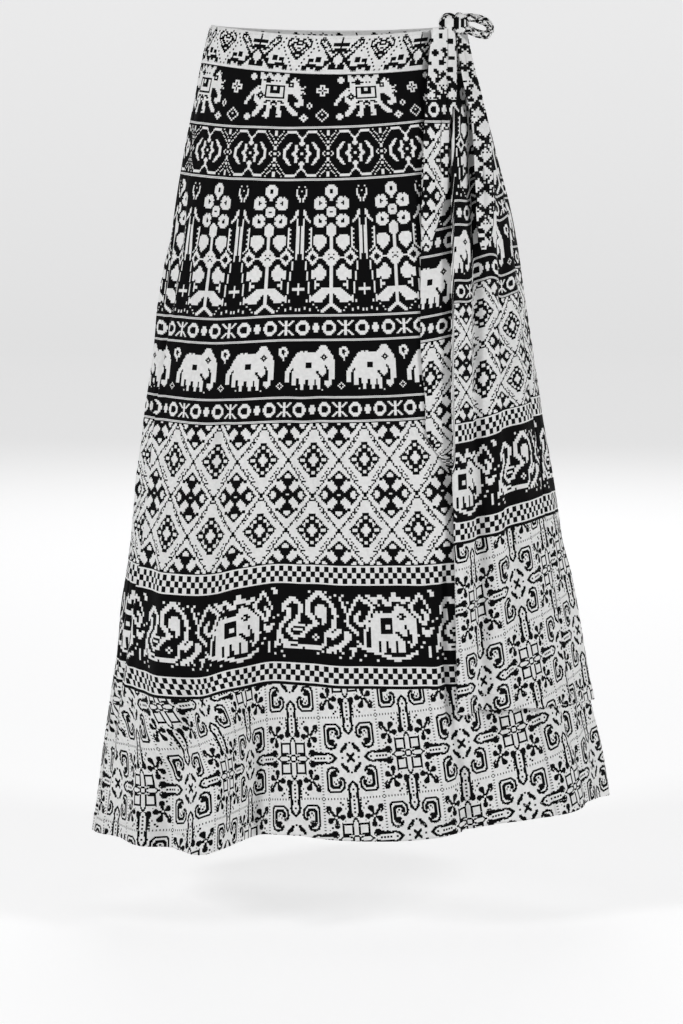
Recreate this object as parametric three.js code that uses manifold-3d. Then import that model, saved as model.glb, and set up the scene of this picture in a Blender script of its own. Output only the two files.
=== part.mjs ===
// A long cotton wrap skirt, worn: tied in a half bow at the wearer's left hip.
// Millimetres, +Z up. The origin is the middle of the waist, inside the waistband.
// -Y is the wearer's front and +X the wearer's left. Angles run round the body from
// the middle of the front (0) over the wearer's left side (90) to the back (180).
import * as THREE from "three";
import { mergeVertices } from "three/addons/utils/BufferGeometryUtils.js";
import Module from "manifold-3d";

const CLOTH = 1.2; // wall of one layer of cloth
const BAND_CLOTH = 2.2; // wall of the folded waistband
const BAND_HEIGHT = 43;
const BAND_TOP = 18; // top edge of the waistband at the sides
const FRONT_DIP = 14; // how much lower the waistband sits at the front
const BACK_DIP = 4;
const SEAM_GAP = 0.3;
const PANEL_ROWS = 16;
const OVER_LIFT = 4.2; // from the inner layer of cloth to the outer one

const RIGHT_SEAM = 282; // where front and back panels meet, at the wearer's right side
const INNER_SEAM = 51; // where the front panel meets the underlap
const UNDERLAP_END = 150; // loose end of the inner layer, at the back
const BAND_END = 46; // end of the outer waistband, under the knot
const KNOT_ANGLE = 57;

// The inner layer's half-widths and half-depths at each height.
const SECTIONS = [
  { z: 40, right: 141, left: 136, front: 99, back: 102 },
  { z: 20, right: 146, left: 142, front: 101, back: 105 },
  { z: -30, right: 159, left: 150, front: 105, back: 113 },
  { z: -90, right: 171, left: 169, front: 110, back: 125 },
  { z: -155, right: 183, left: 186, front: 115, back: 135 },
  { z: -225, right: 194, left: 202, front: 121, back: 142 },
  { z: -345, right: 213, left: 221, front: 131, back: 149 },
  { z: -490, right: 231.5, left: 245, front: 146, back: 159 },
  { z: -605, right: 247, left: 264, front: 159, back: 169 },
  { z: -705, right: 262, left: 282, front: 171, back: 178 },
  { z: -775, right: 273, left: 295, front: 180, back: 185 },
  { z: -840, right: 283, left: 310, front: 188, back: 192 },
  { z: -960, right: 299, left: 331, front: 203, back: 206 },
];

// The folds that the hem falls in: angle of each ridge (or trough), its half-width
// in degrees, how far it stands out at the hem, and the height where it starts.
const FOLDS = [
  { angle: -62, width: 9, out: -7, start: -520 },
  { angle: -46, width: 14, out: 14, start: -400 },
  { angle: -29, width: 6, out: 30, start: -390 },
  { angle: -20.5, width: 4.6, out: -26, start: -410 },
  { angle: -13, width: 8, out: -10, start: -400 },
  { angle: 3, width: 13, out: 8, start: -480 },
  { angle: 32, width: 9, out: -15, start: -600 },
  { angle: 56, width: 9, out: 10, start: -600 },
  { angle: 76, width: 8, out: -7, start: -640 },
  { angle: 112, width: 11, out: 16, start: -520 },
  { angle: 134, width: 8, out: -16, start: -480 },
  { angle: 156, width: 10, out: 20, start: -440 },
  { angle: 178, width: 9, out: -18, start: -460 },
  { angle: 201, width: 11, out: 20, start: -420 },
  { angle: 224, width: 8, out: -17, start: -480 },
  { angle: 246, width: 10, out: 15, start: -520 },
  { angle: 265, width: 7, out: -8, start: -560 },
];

// Height of the hem of the inner layer and of the outer one, round the body.
const HEMS = [
  { angle: -78, inner: -925, outer: -925 },
  { angle: -54, inner: -918, outer: -925 },
  { angle: -40, inner: -917, outer: -925 },
  { angle: -29, inner: -915, outer: -925 },
  { angle: -21, inner: -904, outer: -925 },
  { angle: -13, inner: -897, outer: -925 },
  { angle: 2, inner: -899, outer: -762 },
  { angle: 14, inner: -901, outer: -762 },
  { angle: 24, inner: -899, outer: -762 },
  { angle: 34, inner: -893, outer: -759 },
  { angle: 50, inner: -887, outer: -761 },
  { angle: 70, inner: -884, outer: -767 },
  { angle: 92, inner: -890, outer: -776 },
  { angle: 120, inner: -900, outer: -812 },
  { angle: 150, inner: -908, outer: -866 },
  { angle: 180, inner: -915, outer: -906 },
  { angle: 215, inner: -920, outer: -924 },
  { angle: 282, inner: -925, outer: -925 },
];

// Edges of the outer layer at each height: the loose leading edge and the leading
// fold by their distance from the middle of the body, and the seam by its angle.
const OUTER_EDGES = [
  { z: 20, loose: 103, fold: 127, seam: 90 },
  { z: -36, loose: 100, fold: 129, seam: 88 },
  { z: -150, loose: 95, fold: 129, seam: 81 },
  { z: -230, loose: 94, fold: 129, seam: 77 },
  { z: -345, loose: 94, fold: 129, seam: 74 },
  { z: -400, loose: 99, fold: 129, seam: 72 },
  { z: -445, loose: 102, fold: 130, seam: 71.5 },
  { z: -485, loose: 126, fold: 130, seam: 71 },
  { z: -520, loose: 136, fold: 131, seam: 70 },
  { z: -605, loose: 138, fold: 133, seam: 68.5 },
  { z: -700, loose: 139, fold: 135, seam: 67 },
  { z: -800, loose: 141, fold: 137, seam: 66 },
];

// Pleats of the outer layer: distance behind the leading fold, half-width and how far
// each stands out, near the waist and near its hem.
const PLEATS = [
  { place: 4, width: 13, high: 9, low: 7 },
  { place: 25, width: 8, high: -4, low: -4 },
  { place: 50, width: 14, high: 7, low: 3 },
  { place: 74, width: 9, high: -2, low: -2 },
  { place: 98, width: 16, high: 3, low: 4 },
];
const PLEAT_BASE = 9.6; // lift of the pleated layer over the inner one, at its fold
const STRIP_LIFT = 3.2; // lift of the folded-under leading edge
const STRIP_BEHIND = 10; // how far that edge reaches behind the leading fold
const TURN = 1.5; // radius of its hidden fold
const FOLD_REACH = 5; // how far the flat part of the leading fold stays behind it
const FOLD_ROLL = 3; // radius of the leading fold, from front to back
const FACING = 0.1; // of a column: how far past its edges a panel is followed, to face them

const WHITE_COTTON = new THREE.MeshStandardMaterial({ color: 0xe2e2e2, roughness: 0.9, metalness: 0 });
const BLACK_COTTON = new THREE.MeshStandardMaterial({ color: 0x5a5a5a, roughness: 0.9, metalness: 0 });

const radians = THREE.MathUtils.degToRad;
const clamp01 = (x) => Math.min(1, Math.max(0, x));
const smooth = (x) => clamp01(x) ** 2 * (3 - 2 * clamp01(x));
const steps = (count) => Array.from({ length: count + 1 }, (_, i) => i / count);

// A table's column at a place between its rows, on a smooth curve through them.
function read(table, column, by, place) {
  const ordered = table[0][by] < table[table.length - 1][by] ? table : [...table].reverse();
  const x = THREE.MathUtils.clamp(place, ordered[0][by], ordered[ordered.length - 1][by]);
  const last = ordered.length - 1;
  const i = Math.min(last - 1, Math.max(0, ordered.findIndex((row) => row[by] >= x) - 1));
  const slope = (a, b) => (ordered[b][column] - ordered[a][column]) / (ordered[b][by] - ordered[a][by]);
  const tangent = (k) => slope(Math.max(0, k - 1), Math.min(last, k + 1));
  const span = ordered[i + 1][by] - ordered[i][by];
  const t = (x - ordered[i][by]) / span;
  const start = (1 + 2 * t) * (1 - t) ** 2 * ordered[i][column] + t * (1 - t) ** 2 * span * tangent(i);
  const end = t * t * (3 - 2 * t) * ordered[i + 1][column] + t * t * (t - 1) * span * tangent(i + 1);
  return start + end;
}

const turn = (angle) => ((((angle + 180) % 360) + 360) % 360) - 180;
const hemOf = (layer, angle) => read(HEMS, layer, "angle", angle);

// Top edge of the waistband at an angle.
function bandTop(angle) {
  const facing = Math.cos(radians(angle));
  return BAND_TOP - (facing > 0 ? FRONT_DIP : BACK_DIP) * facing * facing;
}

// How far the hem's folds stand out at an angle and height.
function foldOut(angle, z) {
  let out = 0;
  for (const fold of FOLDS) {
    const away = turn(angle - fold.angle) / fold.width;
    out += fold.out * Math.exp(-away * away) * smooth((fold.start - z) / (fold.start + 925)) ** 1.3;
  }
  return out;
}

// A point of the cloth: the inner layer's middle at an angle and height, moved out.
function onBody(angle, z, lift) {
  const t = radians(angle);
  const wide = read(SECTIONS, Math.sin(t) > 0 ? "left" : "right", "z", z);
  const deep = read(SECTIONS, Math.cos(t) > 0 ? "front" : "back", "z", z);
  const out = new THREE.Vector2(Math.sin(t) / wide, -Math.cos(t) / deep).normalize();
  const d = foldOut(angle, z) + lift;
  return new THREE.Vector3(wide * Math.sin(t) + out.x * d, -deep * Math.cos(t) + out.y * d, z);
}

// The angle at which a lifted point of the front lies so far to the wearer's left.
function angleFor(x, z, lift) {
  const wide = read(SECTIONS, "left", "z", z);
  const deep = read(SECTIONS, "front", "z", z);
  let t = Math.asin(clamp01(x / wide));
  for (let pass = 0; pass < 12; pass++) {
    const out = new THREE.Vector2(Math.sin(t) / wide, -Math.cos(t) / deep).normalize();
    const d = foldOut(THREE.MathUtils.radToDeg(t), z) + lift;
    t = 0.5 * t + 0.5 * Math.asin(clamp01((x - out.x * d) / wide));
  }
  return THREE.MathUtils.radToDeg(t);
}

const across = (x, z, lift) => onBody(angleFor(x, z, lift), z, lift);

// How far the outer layer lies over the inner one round the back and left side.
const backLift = (angle) => OVER_LIFT * (1 - smooth((angle - UNDERLAP_END - 3) / 22));

// Lift of the pleated outer layer behind its leading fold.
function pleatLift(behind, z) {
  const down = clamp01((-60 - z) / 640);
  const settled = smooth((bandTop(60) - BAND_HEIGHT - z) / 110);
  let out = 0;
  for (const pleat of PLEATS) {
    const away = (behind - pleat.place) / pleat.width;
    out += THREE.MathUtils.lerp(pleat.high, pleat.low, down) * Math.exp(-away * away) * settled;
  }
  return out;
}

// A closed wall on a grid of points down the middle of the cloth, rows from the top.
// Each row may hold one point more at its start or end, past the edge, to face the
// edge by: margin says how many at each.
function wall(grid, thickness, margin = { start: 0, end: 0 }) {
  const rows = grid.length;
  const columns = grid[0].length - margin.start - margin.end;
  const at = (i, j) => {
    const row = grid[THREE.MathUtils.clamp(i, 0, rows - 1)];
    return row[THREE.MathUtils.clamp(j + margin.start, 0, row.length - 1)];
  };
  const places = [];
  for (const side of [0.5, -0.5]) {
    for (let i = 0; i < rows; i++) {
      for (let j = 0; j < columns; j++) {
        const across = at(i, j + 1).clone().sub(at(i, j - 1));
        const up = at(i - 1, j).clone().sub(at(i + 1, j));
        const normal = across.cross(up).normalize();
        places.push(at(i, j).clone().addScaledVector(normal, side * thickness));
      }
    }
  }
  const outer = (i, j) => i * columns + j;
  const inner = (i, j) => rows * columns + i * columns + j;
  const faces = [];
  const quad = (a, b, c, d) => faces.push(a, b, c, a, c, d);
  for (let i = 0; i + 1 < rows; i++) {
    for (let j = 0; j + 1 < columns; j++) {
      quad(outer(i, j), outer(i + 1, j), outer(i + 1, j + 1), outer(i, j + 1));
      quad(inner(i, j), inner(i, j + 1), inner(i + 1, j + 1), inner(i + 1, j));
    }
    quad(outer(i, 0), inner(i, 0), inner(i + 1, 0), outer(i + 1, 0));
    const j = columns - 1;
    quad(outer(i, j), outer(i + 1, j), inner(i + 1, j), inner(i, j));
  }
  for (let j = 0; j + 1 < columns; j++) {
    quad(outer(0, j), outer(0, j + 1), inner(0, j + 1), inner(0, j));
    const i = rows - 1;
    quad(outer(i, j), inner(i, j), inner(i, j + 1), outer(i, j + 1));
  }
  return solidShape(places, faces);
}

function solidShape(places, faces) {
  const shape = new THREE.BufferGeometry();
  shape.setAttribute("position", new THREE.Float32BufferAttribute(places.flatMap((p) => [p.x, p.y, p.z]), 3));
  shape.setIndex(faces);
  return shape;
}

// Where a panel's point lies, by its place along and down between two edges.
function placeOn(layer, from, to, along, down) {
  let z = -400;
  let angle = 0;
  for (let pass = 0; pass < 6; pass++) {
    angle = THREE.MathUtils.lerp(from(z), to(z), along);
    const top = bandTop(angle) - BAND_HEIGHT - SEAM_GAP;
    z = THREE.MathUtils.lerp(top, hemOf(layer, angle), down ** 0.92);
  }
  return { angle, z };
}

// A panel between two edges, from the waistband's lower edge to the hem of its layer.
// Its rows match those of its neighbours, and it is faced by a little cloth past both
// edges, so that walls meet square at their seam.
function panel(layer, from, to, columns, lift) {
  const past = FACING / columns;
  const grid = steps(PANEL_ROWS).map((down) =>
    [-past, ...steps(columns), 1 + past].map((along) => {
      const { angle, z } = placeOn(layer, from, to, along, down);
      return onBody(angle, z, lift(angle, z));
    }),
  );
  return wall(grid, CLOTH, { start: 1, end: 1 });
}

// Half the seam gap as an angle, so that two panels stop just short of each other.
const shy = (z) => THREE.MathUtils.radToDeg(SEAM_GAP / 2 / read(SECTIONS, "right", "z", z));
const outerSeam = (z) => read(OUTER_EDGES, "seam", "z", z);
const foldX = (z) => read(OUTER_EDGES, "fold", "z", z);

const frontPanel = () =>
  panel("inner", (z) => RIGHT_SEAM - 360 + shy(z), (z) => INNER_SEAM - shy(z), 56, () => 0);
const underlapPanel = () =>
  panel("inner", (z) => INNER_SEAM + shy(z), () => UNDERLAP_END, 22, () => 0);
const backPanel = () =>
  panel("outer", (z) => outerSeam(z) + shy(z), (z) => RIGHT_SEAM - shy(z), 44, backLift);

// The overlap's section at one height, from the loose edge to the seam, as places
// (distance from the middle, lift). The leading edge is a knife pleat: the strip that
// shows runs back under the fold, turns, and comes forward again into the fold.
function overlapSection(z) {
  const loose = read(OUTER_EDGES, "loose", "z", z);
  const fold = foldX(z);
  const behind = fold + STRIP_BEHIND;
  const middle = STRIP_LIFT + 2 * TURN;
  const crest = crestLift(z);
  const section = [0, 0.34, 0.67, 1].map((k) => ({ x: THREE.MathUtils.lerp(loose, behind, k), lift: STRIP_LIFT }));
  section.push({ x: behind + TURN, lift: STRIP_LIFT + TURN });
  section.push({ x: behind, lift: middle });
  section.push({ x: fold + FOLD_REACH, lift: middle });
  const roll = (crest - middle) / 2;
  for (const turn of [-0.5, -0.22, 0, 0.22]) {
    const a = turn * Math.PI;
    section.push({ x: fold + FOLD_ROLL * (1 - Math.cos(a)), lift: middle + roll + roll * Math.sin(a) });
  }
  return section;
}

const crestLift = (z) => PLEAT_BASE + pleatLift(2, z);
// How far two angles are apart along the cloth at one height.
function reach(from, to, z) {
  const t = radians((from + to) / 2);
  const wide = read(SECTIONS, "left", "z", z) * Math.cos(t);
  const deep = read(SECTIONS, "front", "z", z) * Math.sin(t);
  return Math.hypot(wide, deep) * radians(to - from);
}

const foldStart = (z) => angleFor(foldX(z) + FOLD_ROLL, z, crestLift(z));
const overlapEnd = (z) => outerSeam(z) - shy(z);

function overlapPanel() {
  const topColumns = 17;
  const grid = steps(PANEL_ROWS).map((down) => {
    const guess = THREE.MathUtils.lerp(bandTop(60) - BAND_HEIGHT, -762, down ** 0.92);
    const section = overlapSection(guess).map(({ x, lift }) => {
      const fixed = (z) => angleFor(x + foldX(z) - foldX(guess), z, lift);
      const { angle, z } = placeOn("outer", fixed, fixed, 0, down);
      return onBody(angle, z, lift);
    });
    const folded = [...steps(topColumns), 1 + FACING / topColumns].map((along) => {
      const { angle, z } = placeOn("outer", foldStart, overlapEnd, along, down);
      const behind = 2 + reach(foldStart(z), angle, z);
      const base = THREE.MathUtils.lerp(PLEAT_BASE, OVER_LIFT, smooth(along));
      return onBody(angle, z, base + pleatLift(behind, z) * (1 - smooth((along - 0.8) / 0.2)));
    });
    return [...section, ...folded];
  });
  return wall(grid, CLOTH, { start: 0, end: 1 });
}

// A length of waistband between two angles.
function band(from, to, columns, lift, extra = 0) {
  const grid = steps(3).map((down) =>
    steps(columns).map((along) => {
      const angle = THREE.MathUtils.lerp(from, to, along);
      const z = bandTop(angle) + extra - down * (BAND_HEIGHT + 2 * extra);
      return onBody(angle, z, lift(angle));
    }),
  );
  return wall(grid, BAND_CLOTH + 2 * extra);
}

const frontBand = (extra) => band(RIGHT_SEAM - 360 + shy(0), UNDERLAP_END, 44, () => 0, extra);
const backBand = (extra) => band(BAND_END, RIGHT_SEAM - shy(0), 46, backLift, extra);

// Hanging ties: at each height, how far the middle lies to the wearer's left, its lift
// over the inner layer, how much further out its rear edge stands, and its half-width.
const TIE_FRONT = [
  { z: 13, x: 119.5, lift: 15, tilt: 2, half: 12 },
  { z: -4, x: 119, lift: 13.5, tilt: 3, half: 14 },
  { z: -23, x: 118.5, lift: 12.5, tilt: 4, half: 15.5 },
  { z: -68, x: 117, lift: 12, tilt: 5, half: 16.5 },
  { z: -92, x: 112, lift: 10, tilt: 3, half: 14 },
  { z: -124, x: 111, lift: 8, tilt: 1, half: 14 },
  { z: -168, x: 110.5, lift: 8, tilt: 1, half: 14 },
  { z: -190, x: 106, lift: 8, tilt: 0, half: 11 },
  { z: -215, x: 102, lift: 8, tilt: 0, half: 7.5 },
  { z: -240, x: 97.5, lift: 8, tilt: 0, half: 2 },
];
const TIE_SIDE = [
  { z: 12, x: 140, lift: 15, tilt: 0, half: 6 },
  { z: -10, x: 143.5, lift: 17, tilt: 0, half: 7 },
  { z: -34, x: 148, lift: 20, tilt: 0, half: 8 },
  { z: -68, x: 156, lift: 22, tilt: 0, half: 9 },
  { z: -102, x: 163, lift: 23, tilt: 0, half: 9.5 },
  { z: -150, x: 166, lift: 24, tilt: 0, half: 10 },
  { z: -200, x: 167, lift: 24, tilt: 0, half: 9.5 },
  { z: -222, x: 167, lift: 23.5, tilt: 0, half: 7 },
  { z: -236, x: 166, lift: 23, tilt: 0, half: 2 },
];
const TIE_CLOTH = 2.4;
const TIE_ROUND = 1.6; // how far the middle of a tie stands out from its edges

// A strap that hangs over the skirt, from the rows of its table.
function tie(table) {
  const rows = 14;
  const top = table[0].z;
  const tip = table[table.length - 1].z;
  const grid = steps(rows).map((down) => {
    const z = THREE.MathUtils.lerp(top, tip, down);
    const middle = read(table, "x", "z", z);
    const half = read(table, "half", "z", z);
    return steps(4).map((along) => {
      const x = middle + half * (2 * along - 1);
      const rounded = TIE_ROUND * (1 - (2 * along - 1) ** 2);
      const lift = read(table, "lift", "z", z) + read(table, "tilt", "z", z) * (2 * along - 1) + rounded;
      return across(x, z, lift);
    });
  });
  return wall(grid, TIE_CLOTH);
}

// The knot: a soft lump with two lobes, at the top of the waistband.
const KNOT = { height: 19, out: 17, half: { x: 17, y: 13, z: 13 }, waist: 0.22 };
const knotCentre = onBody(KNOT_ANGLE, KNOT.height, KNOT.out);

function knotShape(grow) {
  const shape = new THREE.SphereGeometry(1, 20, 14);
  shape.deleteAttribute("normal");
  shape.deleteAttribute("uv");
  const merged = mergeVertices(shape, 1e-4);
  const place = merged.getAttribute("position");
  for (let i = 0; i < place.count; i++) {
    const p = new THREE.Vector3().fromBufferAttribute(place, i);
    const pinch = 1 - KNOT.waist * Math.exp(-((p.x / 0.3) ** 2));
    p.set(p.x * (KNOT.half.x + grow), p.y * (KNOT.half.y * pinch + grow), p.z * (KNOT.half.z * pinch + grow));
    place.setXYZ(i, ...p.add(knotCentre).toArray());
  }
  return merged;
}

// The bow's loop, a rolled strap from the knot and back to it: places across and up
// from the knot's middle, and how far each lies behind it.
const LOOP = [
  { across: 4, up: 4, behind: 2 },
  { across: 16, up: 6, behind: 5 },
  { across: 28, up: 4.5, behind: 9 },
  { across: 38, up: 0.5, behind: 12 },
  { across: 42.5, up: -6.5, behind: 13 },
  { across: 38, up: -13, behind: 12 },
  { across: 28, up: -11.5, behind: 9 },
  { across: 17, up: -7, behind: 5 },
  { across: 6, up: -4, behind: 2 },
];
const LOOP_HALF = { thick: 4.7, wide: 9 };

function loopShape(grow) {
  const middle = LOOP.map(({ across, up, behind }) => knotCentre.clone().add(new THREE.Vector3(across, behind, up)));
  const path = new THREE.CatmullRomCurve3(middle);
  const rows = 26;
  const sides = 10;
  const depth = new THREE.Vector3(0, 1, 0);
  const places = [];
  for (const along of steps(rows)) {
    const centre = path.getPoint(along);
    const forward = path.getTangent(along);
    const side = new THREE.Vector3().crossVectors(forward, depth).normalize();
    const deep = new THREE.Vector3().crossVectors(side, forward).normalize();
    for (let k = 0; k < sides; k++) {
      const a = (2 * Math.PI * k) / sides;
      const place = centre.clone().addScaledVector(side, (LOOP_HALF.thick + grow) * Math.cos(a));
      places.push(place.addScaledVector(deep, (LOOP_HALF.wide + grow) * Math.sin(a)));
    }
  }
  const faces = [];
  for (let i = 0; i < rows; i++) {
    for (let k = 0; k < sides; k++) {
      const next = (k + 1) % sides;
      const [a, b] = [i * sides + k, i * sides + next];
      faces.push(a, b + sides, b, a, a + sides, b + sides);
    }
  }
  for (let k = 1; k + 1 < sides; k++) {
    faces.push(0, k, k + 1);
    faces.push(rows * sides, rows * sides + k + 1, rows * sides + k);
  }
  return solidShape(places, faces);
}

const wasm = await Module();
wasm.setup();

function toSolid(shape) {
  const merged = mergeVertices(shape, 1e-3);
  const made = new wasm.Manifold(
    new wasm.Mesh({
      numProp: 3,
      vertProperties: merged.getAttribute("position").array,
      triVerts: new Uint32Array(merged.index.array),
    }),
  );
  return made;
}

// The largest body of a solid, as a shape.
function toShape(solid) {
  const bodies = solid.decompose().sort((a, b) => b.volume() - a.volume());
  const mesh = bodies[0].getMesh();
  const shape = new THREE.BufferGeometry();
  shape.setAttribute("position", new THREE.BufferAttribute(mesh.vertProperties, 3));
  shape.setIndex(new THREE.BufferAttribute(mesh.triVerts, 1));
  return shape;
}

// A shape with room cut for its neighbours.
function clearOf(shape, ...neighbours) {
  return toShape(neighbours.reduce((left, n) => left.subtract(toSolid(n)), toSolid(shape)));
}

const skirt = new THREE.Group();
function add(name, shape, finish) {
  const mesh = new THREE.Mesh(shape, finish);
  mesh.name = name;
  skirt.add(mesh);
}

const roomyKnot = knotShape(SEAM_GAP);
add("front_panel", frontPanel(), BLACK_COTTON);
add("underlap_panel", underlapPanel(), WHITE_COTTON);
add("back_panel", backPanel(), BLACK_COTTON);
add("overlap_panel", overlapPanel(), WHITE_COTTON);
add("waistband_front", frontBand(0), WHITE_COTTON);
add("waistband_back", backBand(0), WHITE_COTTON);
add("knot", clearOf(knotShape(0), frontBand(SEAM_GAP), backBand(SEAM_GAP)), WHITE_COTTON);
add("bow_loop", clearOf(loopShape(0), roomyKnot), WHITE_COTTON);
add("tie_front", clearOf(tie(TIE_FRONT), roomyKnot), WHITE_COTTON);
add("tie_side", clearOf(tie(TIE_SIDE), roomyKnot, loopShape(SEAM_GAP)), WHITE_COTTON);

export default skirt;
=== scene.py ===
import math

import bpy
import numpy as np
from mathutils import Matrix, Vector


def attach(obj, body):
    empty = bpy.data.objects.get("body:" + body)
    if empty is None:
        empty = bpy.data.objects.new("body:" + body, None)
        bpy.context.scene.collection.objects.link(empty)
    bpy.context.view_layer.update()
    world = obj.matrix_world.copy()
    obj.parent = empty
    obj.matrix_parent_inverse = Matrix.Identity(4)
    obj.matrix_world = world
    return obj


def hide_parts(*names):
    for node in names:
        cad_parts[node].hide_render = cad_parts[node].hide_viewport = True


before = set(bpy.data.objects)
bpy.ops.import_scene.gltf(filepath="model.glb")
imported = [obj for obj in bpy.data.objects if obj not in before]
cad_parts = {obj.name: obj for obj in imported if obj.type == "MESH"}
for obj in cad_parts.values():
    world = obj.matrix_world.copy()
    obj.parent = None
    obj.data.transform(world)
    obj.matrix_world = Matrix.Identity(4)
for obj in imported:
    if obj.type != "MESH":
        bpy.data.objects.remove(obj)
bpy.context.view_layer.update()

# A long cotton wrap skirt, worn. Lengths here are millimetres and angles degrees,
# round the body from the middle of the front (0) over the wearer's left side (90).
# Meshes are written in metres.
MM = 0.001

# ---------------------------------------------------------------- camera and studio

CAMERA_PLACE = (4, -3750, -64)
CAMERA_AIM_HEIGHT = -550
MM_PER_PIXEL = 1.18  # at the body, in the middle of the picture
PICTURE_HEIGHT = 1024
SENSOR = 36
FLOOR = -1022
STUDIO_SIDES = 96


def add_object(name, data):
    made = bpy.data.objects.new(name, data)
    bpy.context.scene.collection.objects.link(made)
    return made


def new_material(name, **looks):
    """A material and its shader, with words in the sockets' names joined by _."""
    made = bpy.data.materials.new(name)
    made.use_nodes = True
    shader = made.node_tree.nodes["Principled BSDF"]
    for socket, value in looks.items():
        shader.inputs[socket.replace("_", " ")].default_value = value
    return made, shader


def add_camera():
    place = np.array(CAMERA_PLACE, float)
    drop = place[2] - CAMERA_AIM_HEIGHT
    reach = math.hypot(place[1], drop)
    camera = bpy.data.cameras.new("camera")
    camera.sensor_fit = "VERTICAL"
    camera.sensor_height = SENSOR
    camera.lens = SENSOR * reach / (MM_PER_PIXEL * PICTURE_HEIGHT)
    camera.clip_end = 50
    holder = add_object("camera", camera)
    holder.location = place * MM
    holder.rotation_euler = (math.pi / 2 - math.atan2(drop, -place[1]), 0, 0)
    bpy.context.scene.camera = holder


def add_turned(name, section, material):
    """A surface swept round the middle of the floor from a section of (radius, height), facing in."""
    sides = STUDIO_SIDES
    points, faces = [], []
    for radius, height in section:
        for step in range(sides):
            turn = 2 * math.pi * step / sides
            points.append((radius * math.sin(turn) * MM, radius * math.cos(turn) * MM, height * MM))
    for ring in range(len(section) - 1):
        for step in range(sides):
            here, ahead = ring * sides + step, ring * sides + (step + 1) % sides
            faces.append((here, ahead, ahead + sides, here + sides))
    mesh = bpy.data.meshes.new(name)
    mesh.from_pydata(points, [], faces)
    mesh.polygons.foreach_set("use_smooth", [True] * len(faces))
    mesh.materials.append(material)
    return add_object(name, mesh)


def add_lamp(name, place, size, power, aim=(0, 0, -450)):
    lamp = bpy.data.lights.new(name, "AREA")
    lamp.shape = "RECTANGLE"
    lamp.size, lamp.size_y = size
    lamp.energy = power
    holder = add_object(name, lamp)
    holder.location = [v * MM for v in place]
    way = Vector(aim) - Vector(place)
    holder.rotation_euler = way.to_track_quat("-Z", "Y").to_euler()


FLOOR_REACH = 8200
WALL_BEND = 1500
WALL_STEPS = 12
WALL_TOP = 3600
WHITE = (1, 1, 1, 1)


def add_studio():
    # A round floor, and a wall that sweeps up from it on all sides.
    floor = [(0, FLOOR), (FLOOR_REACH / 2, FLOOR), (FLOOR_REACH, FLOOR)]
    wall = [floor[-1]]
    for step in range(1, WALL_STEPS + 1):
        turn = math.radians(90 * step / WALL_STEPS)
        wall.append((FLOOR_REACH + WALL_BEND * math.sin(turn), FLOOR + WALL_BEND * (1 - math.cos(turn))))
    wall.append((FLOOR_REACH + WALL_BEND, WALL_TOP))
    paper, _ = new_material(
        "studio_paper", Base_Color=(0.45, 0.45, 0.455, 1), Roughness=0.9, Specular_IOR_Level=0.1,
        Emission_Color=WHITE, Emission_Strength=0.675)
    add_turned("floor", floor, paper)
    sweep = add_turned("wall", wall, paper)
    sweep.visible_diffuse = False
    add_lamp("key", (-3200, -2300, 1350), (0.8, 0.8), 82)
    add_lamp("fill", (3300, -2200, 1200), (0.8, 0.8), 74)
    add_lamp("back", (300, 3900, 1500), (3.0, 2.0), 62)
    world = bpy.data.worlds.new("studio")
    world.use_nodes = True
    sky = world.node_tree.nodes["Background"].inputs
    sky["Color"].default_value = (0.97, 0.98, 1, 1)
    sky["Strength"].default_value = 0.10
    bpy.context.scene.world = world
    bpy.context.scene.view_settings.view_transform = "Standard"


# ---------------------------------------------------------------- the skirt's form

BAND_HEIGHT = 43
BAND_TOP = 18
FRONT_DIP = 14
BACK_DIP = 4
OVER_LIFT = 4.2
RIGHT_SEAM = 282
INNER_SEAM = 51
UNDERLAP_END = 150
BAND_END = 46
KNOT_ANGLE = 57

SECTIONS = np.array([
    # z, right, left, front, back
    (40, 141, 136, 99, 102),
    (20, 146, 142, 101, 105),
    (-30, 159, 150, 105, 113),
    (-90, 171, 169, 110, 125),
    (-155, 183, 186, 115, 135),
    (-225, 194, 202, 121, 142),
    (-345, 213, 221, 131, 149),
    (-490, 231.5, 245, 146, 159),
    (-605, 247, 264, 159, 169),
    (-705, 262, 282, 171, 178),
    (-775, 273, 295, 180, 185),
    (-840, 283, 310, 188, 192),
    (-960, 299, 331, 203, 206),
], float)[::-1]

FOLDS = [
    # angle, width, out, start
    (-62, 9, -7, -520),
    (-46, 14, 14, -400),
    (-29, 6, 30, -390),
    (-20.5, 4.6, -26, -410),
    (-13, 8, -10, -400),
    (3, 13, 8, -480),
    (32, 9, -15, -600),
    (56, 9, 10, -600),
    (76, 8, -7, -640),
    (112, 11, 16, -520),
    (134, 8, -16, -480),
    (156, 10, 20, -440),
    (178, 9, -18, -460),
    (201, 11, 20, -420),
    (224, 8, -17, -480),
    (246, 10, 15, -520),
    (265, 7, -8, -560),
]

HEM_LOW = -925
HEM_RAISED = -762
HEMS = np.array([
    # angle, inner, outer
    (-78, -925, -925),
    (-54, -918, -925),
    (-40, -917, -925),
    (-29, -915, -925),
    (-21, -904, -925),
    (-13, -897, -925),
    (2, -899, -762),
    (14, -901, -762),
    (24, -899, -762),
    (34, -893, -759),
    (50, -887, -761),
    (70, -884, -767),
    (92, -890, -776),
    (120, -900, -812),
    (150, -908, -866),
    (180, -915, -906),
    (215, -920, -924),
    (282, -925, -925),
], float)

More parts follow.
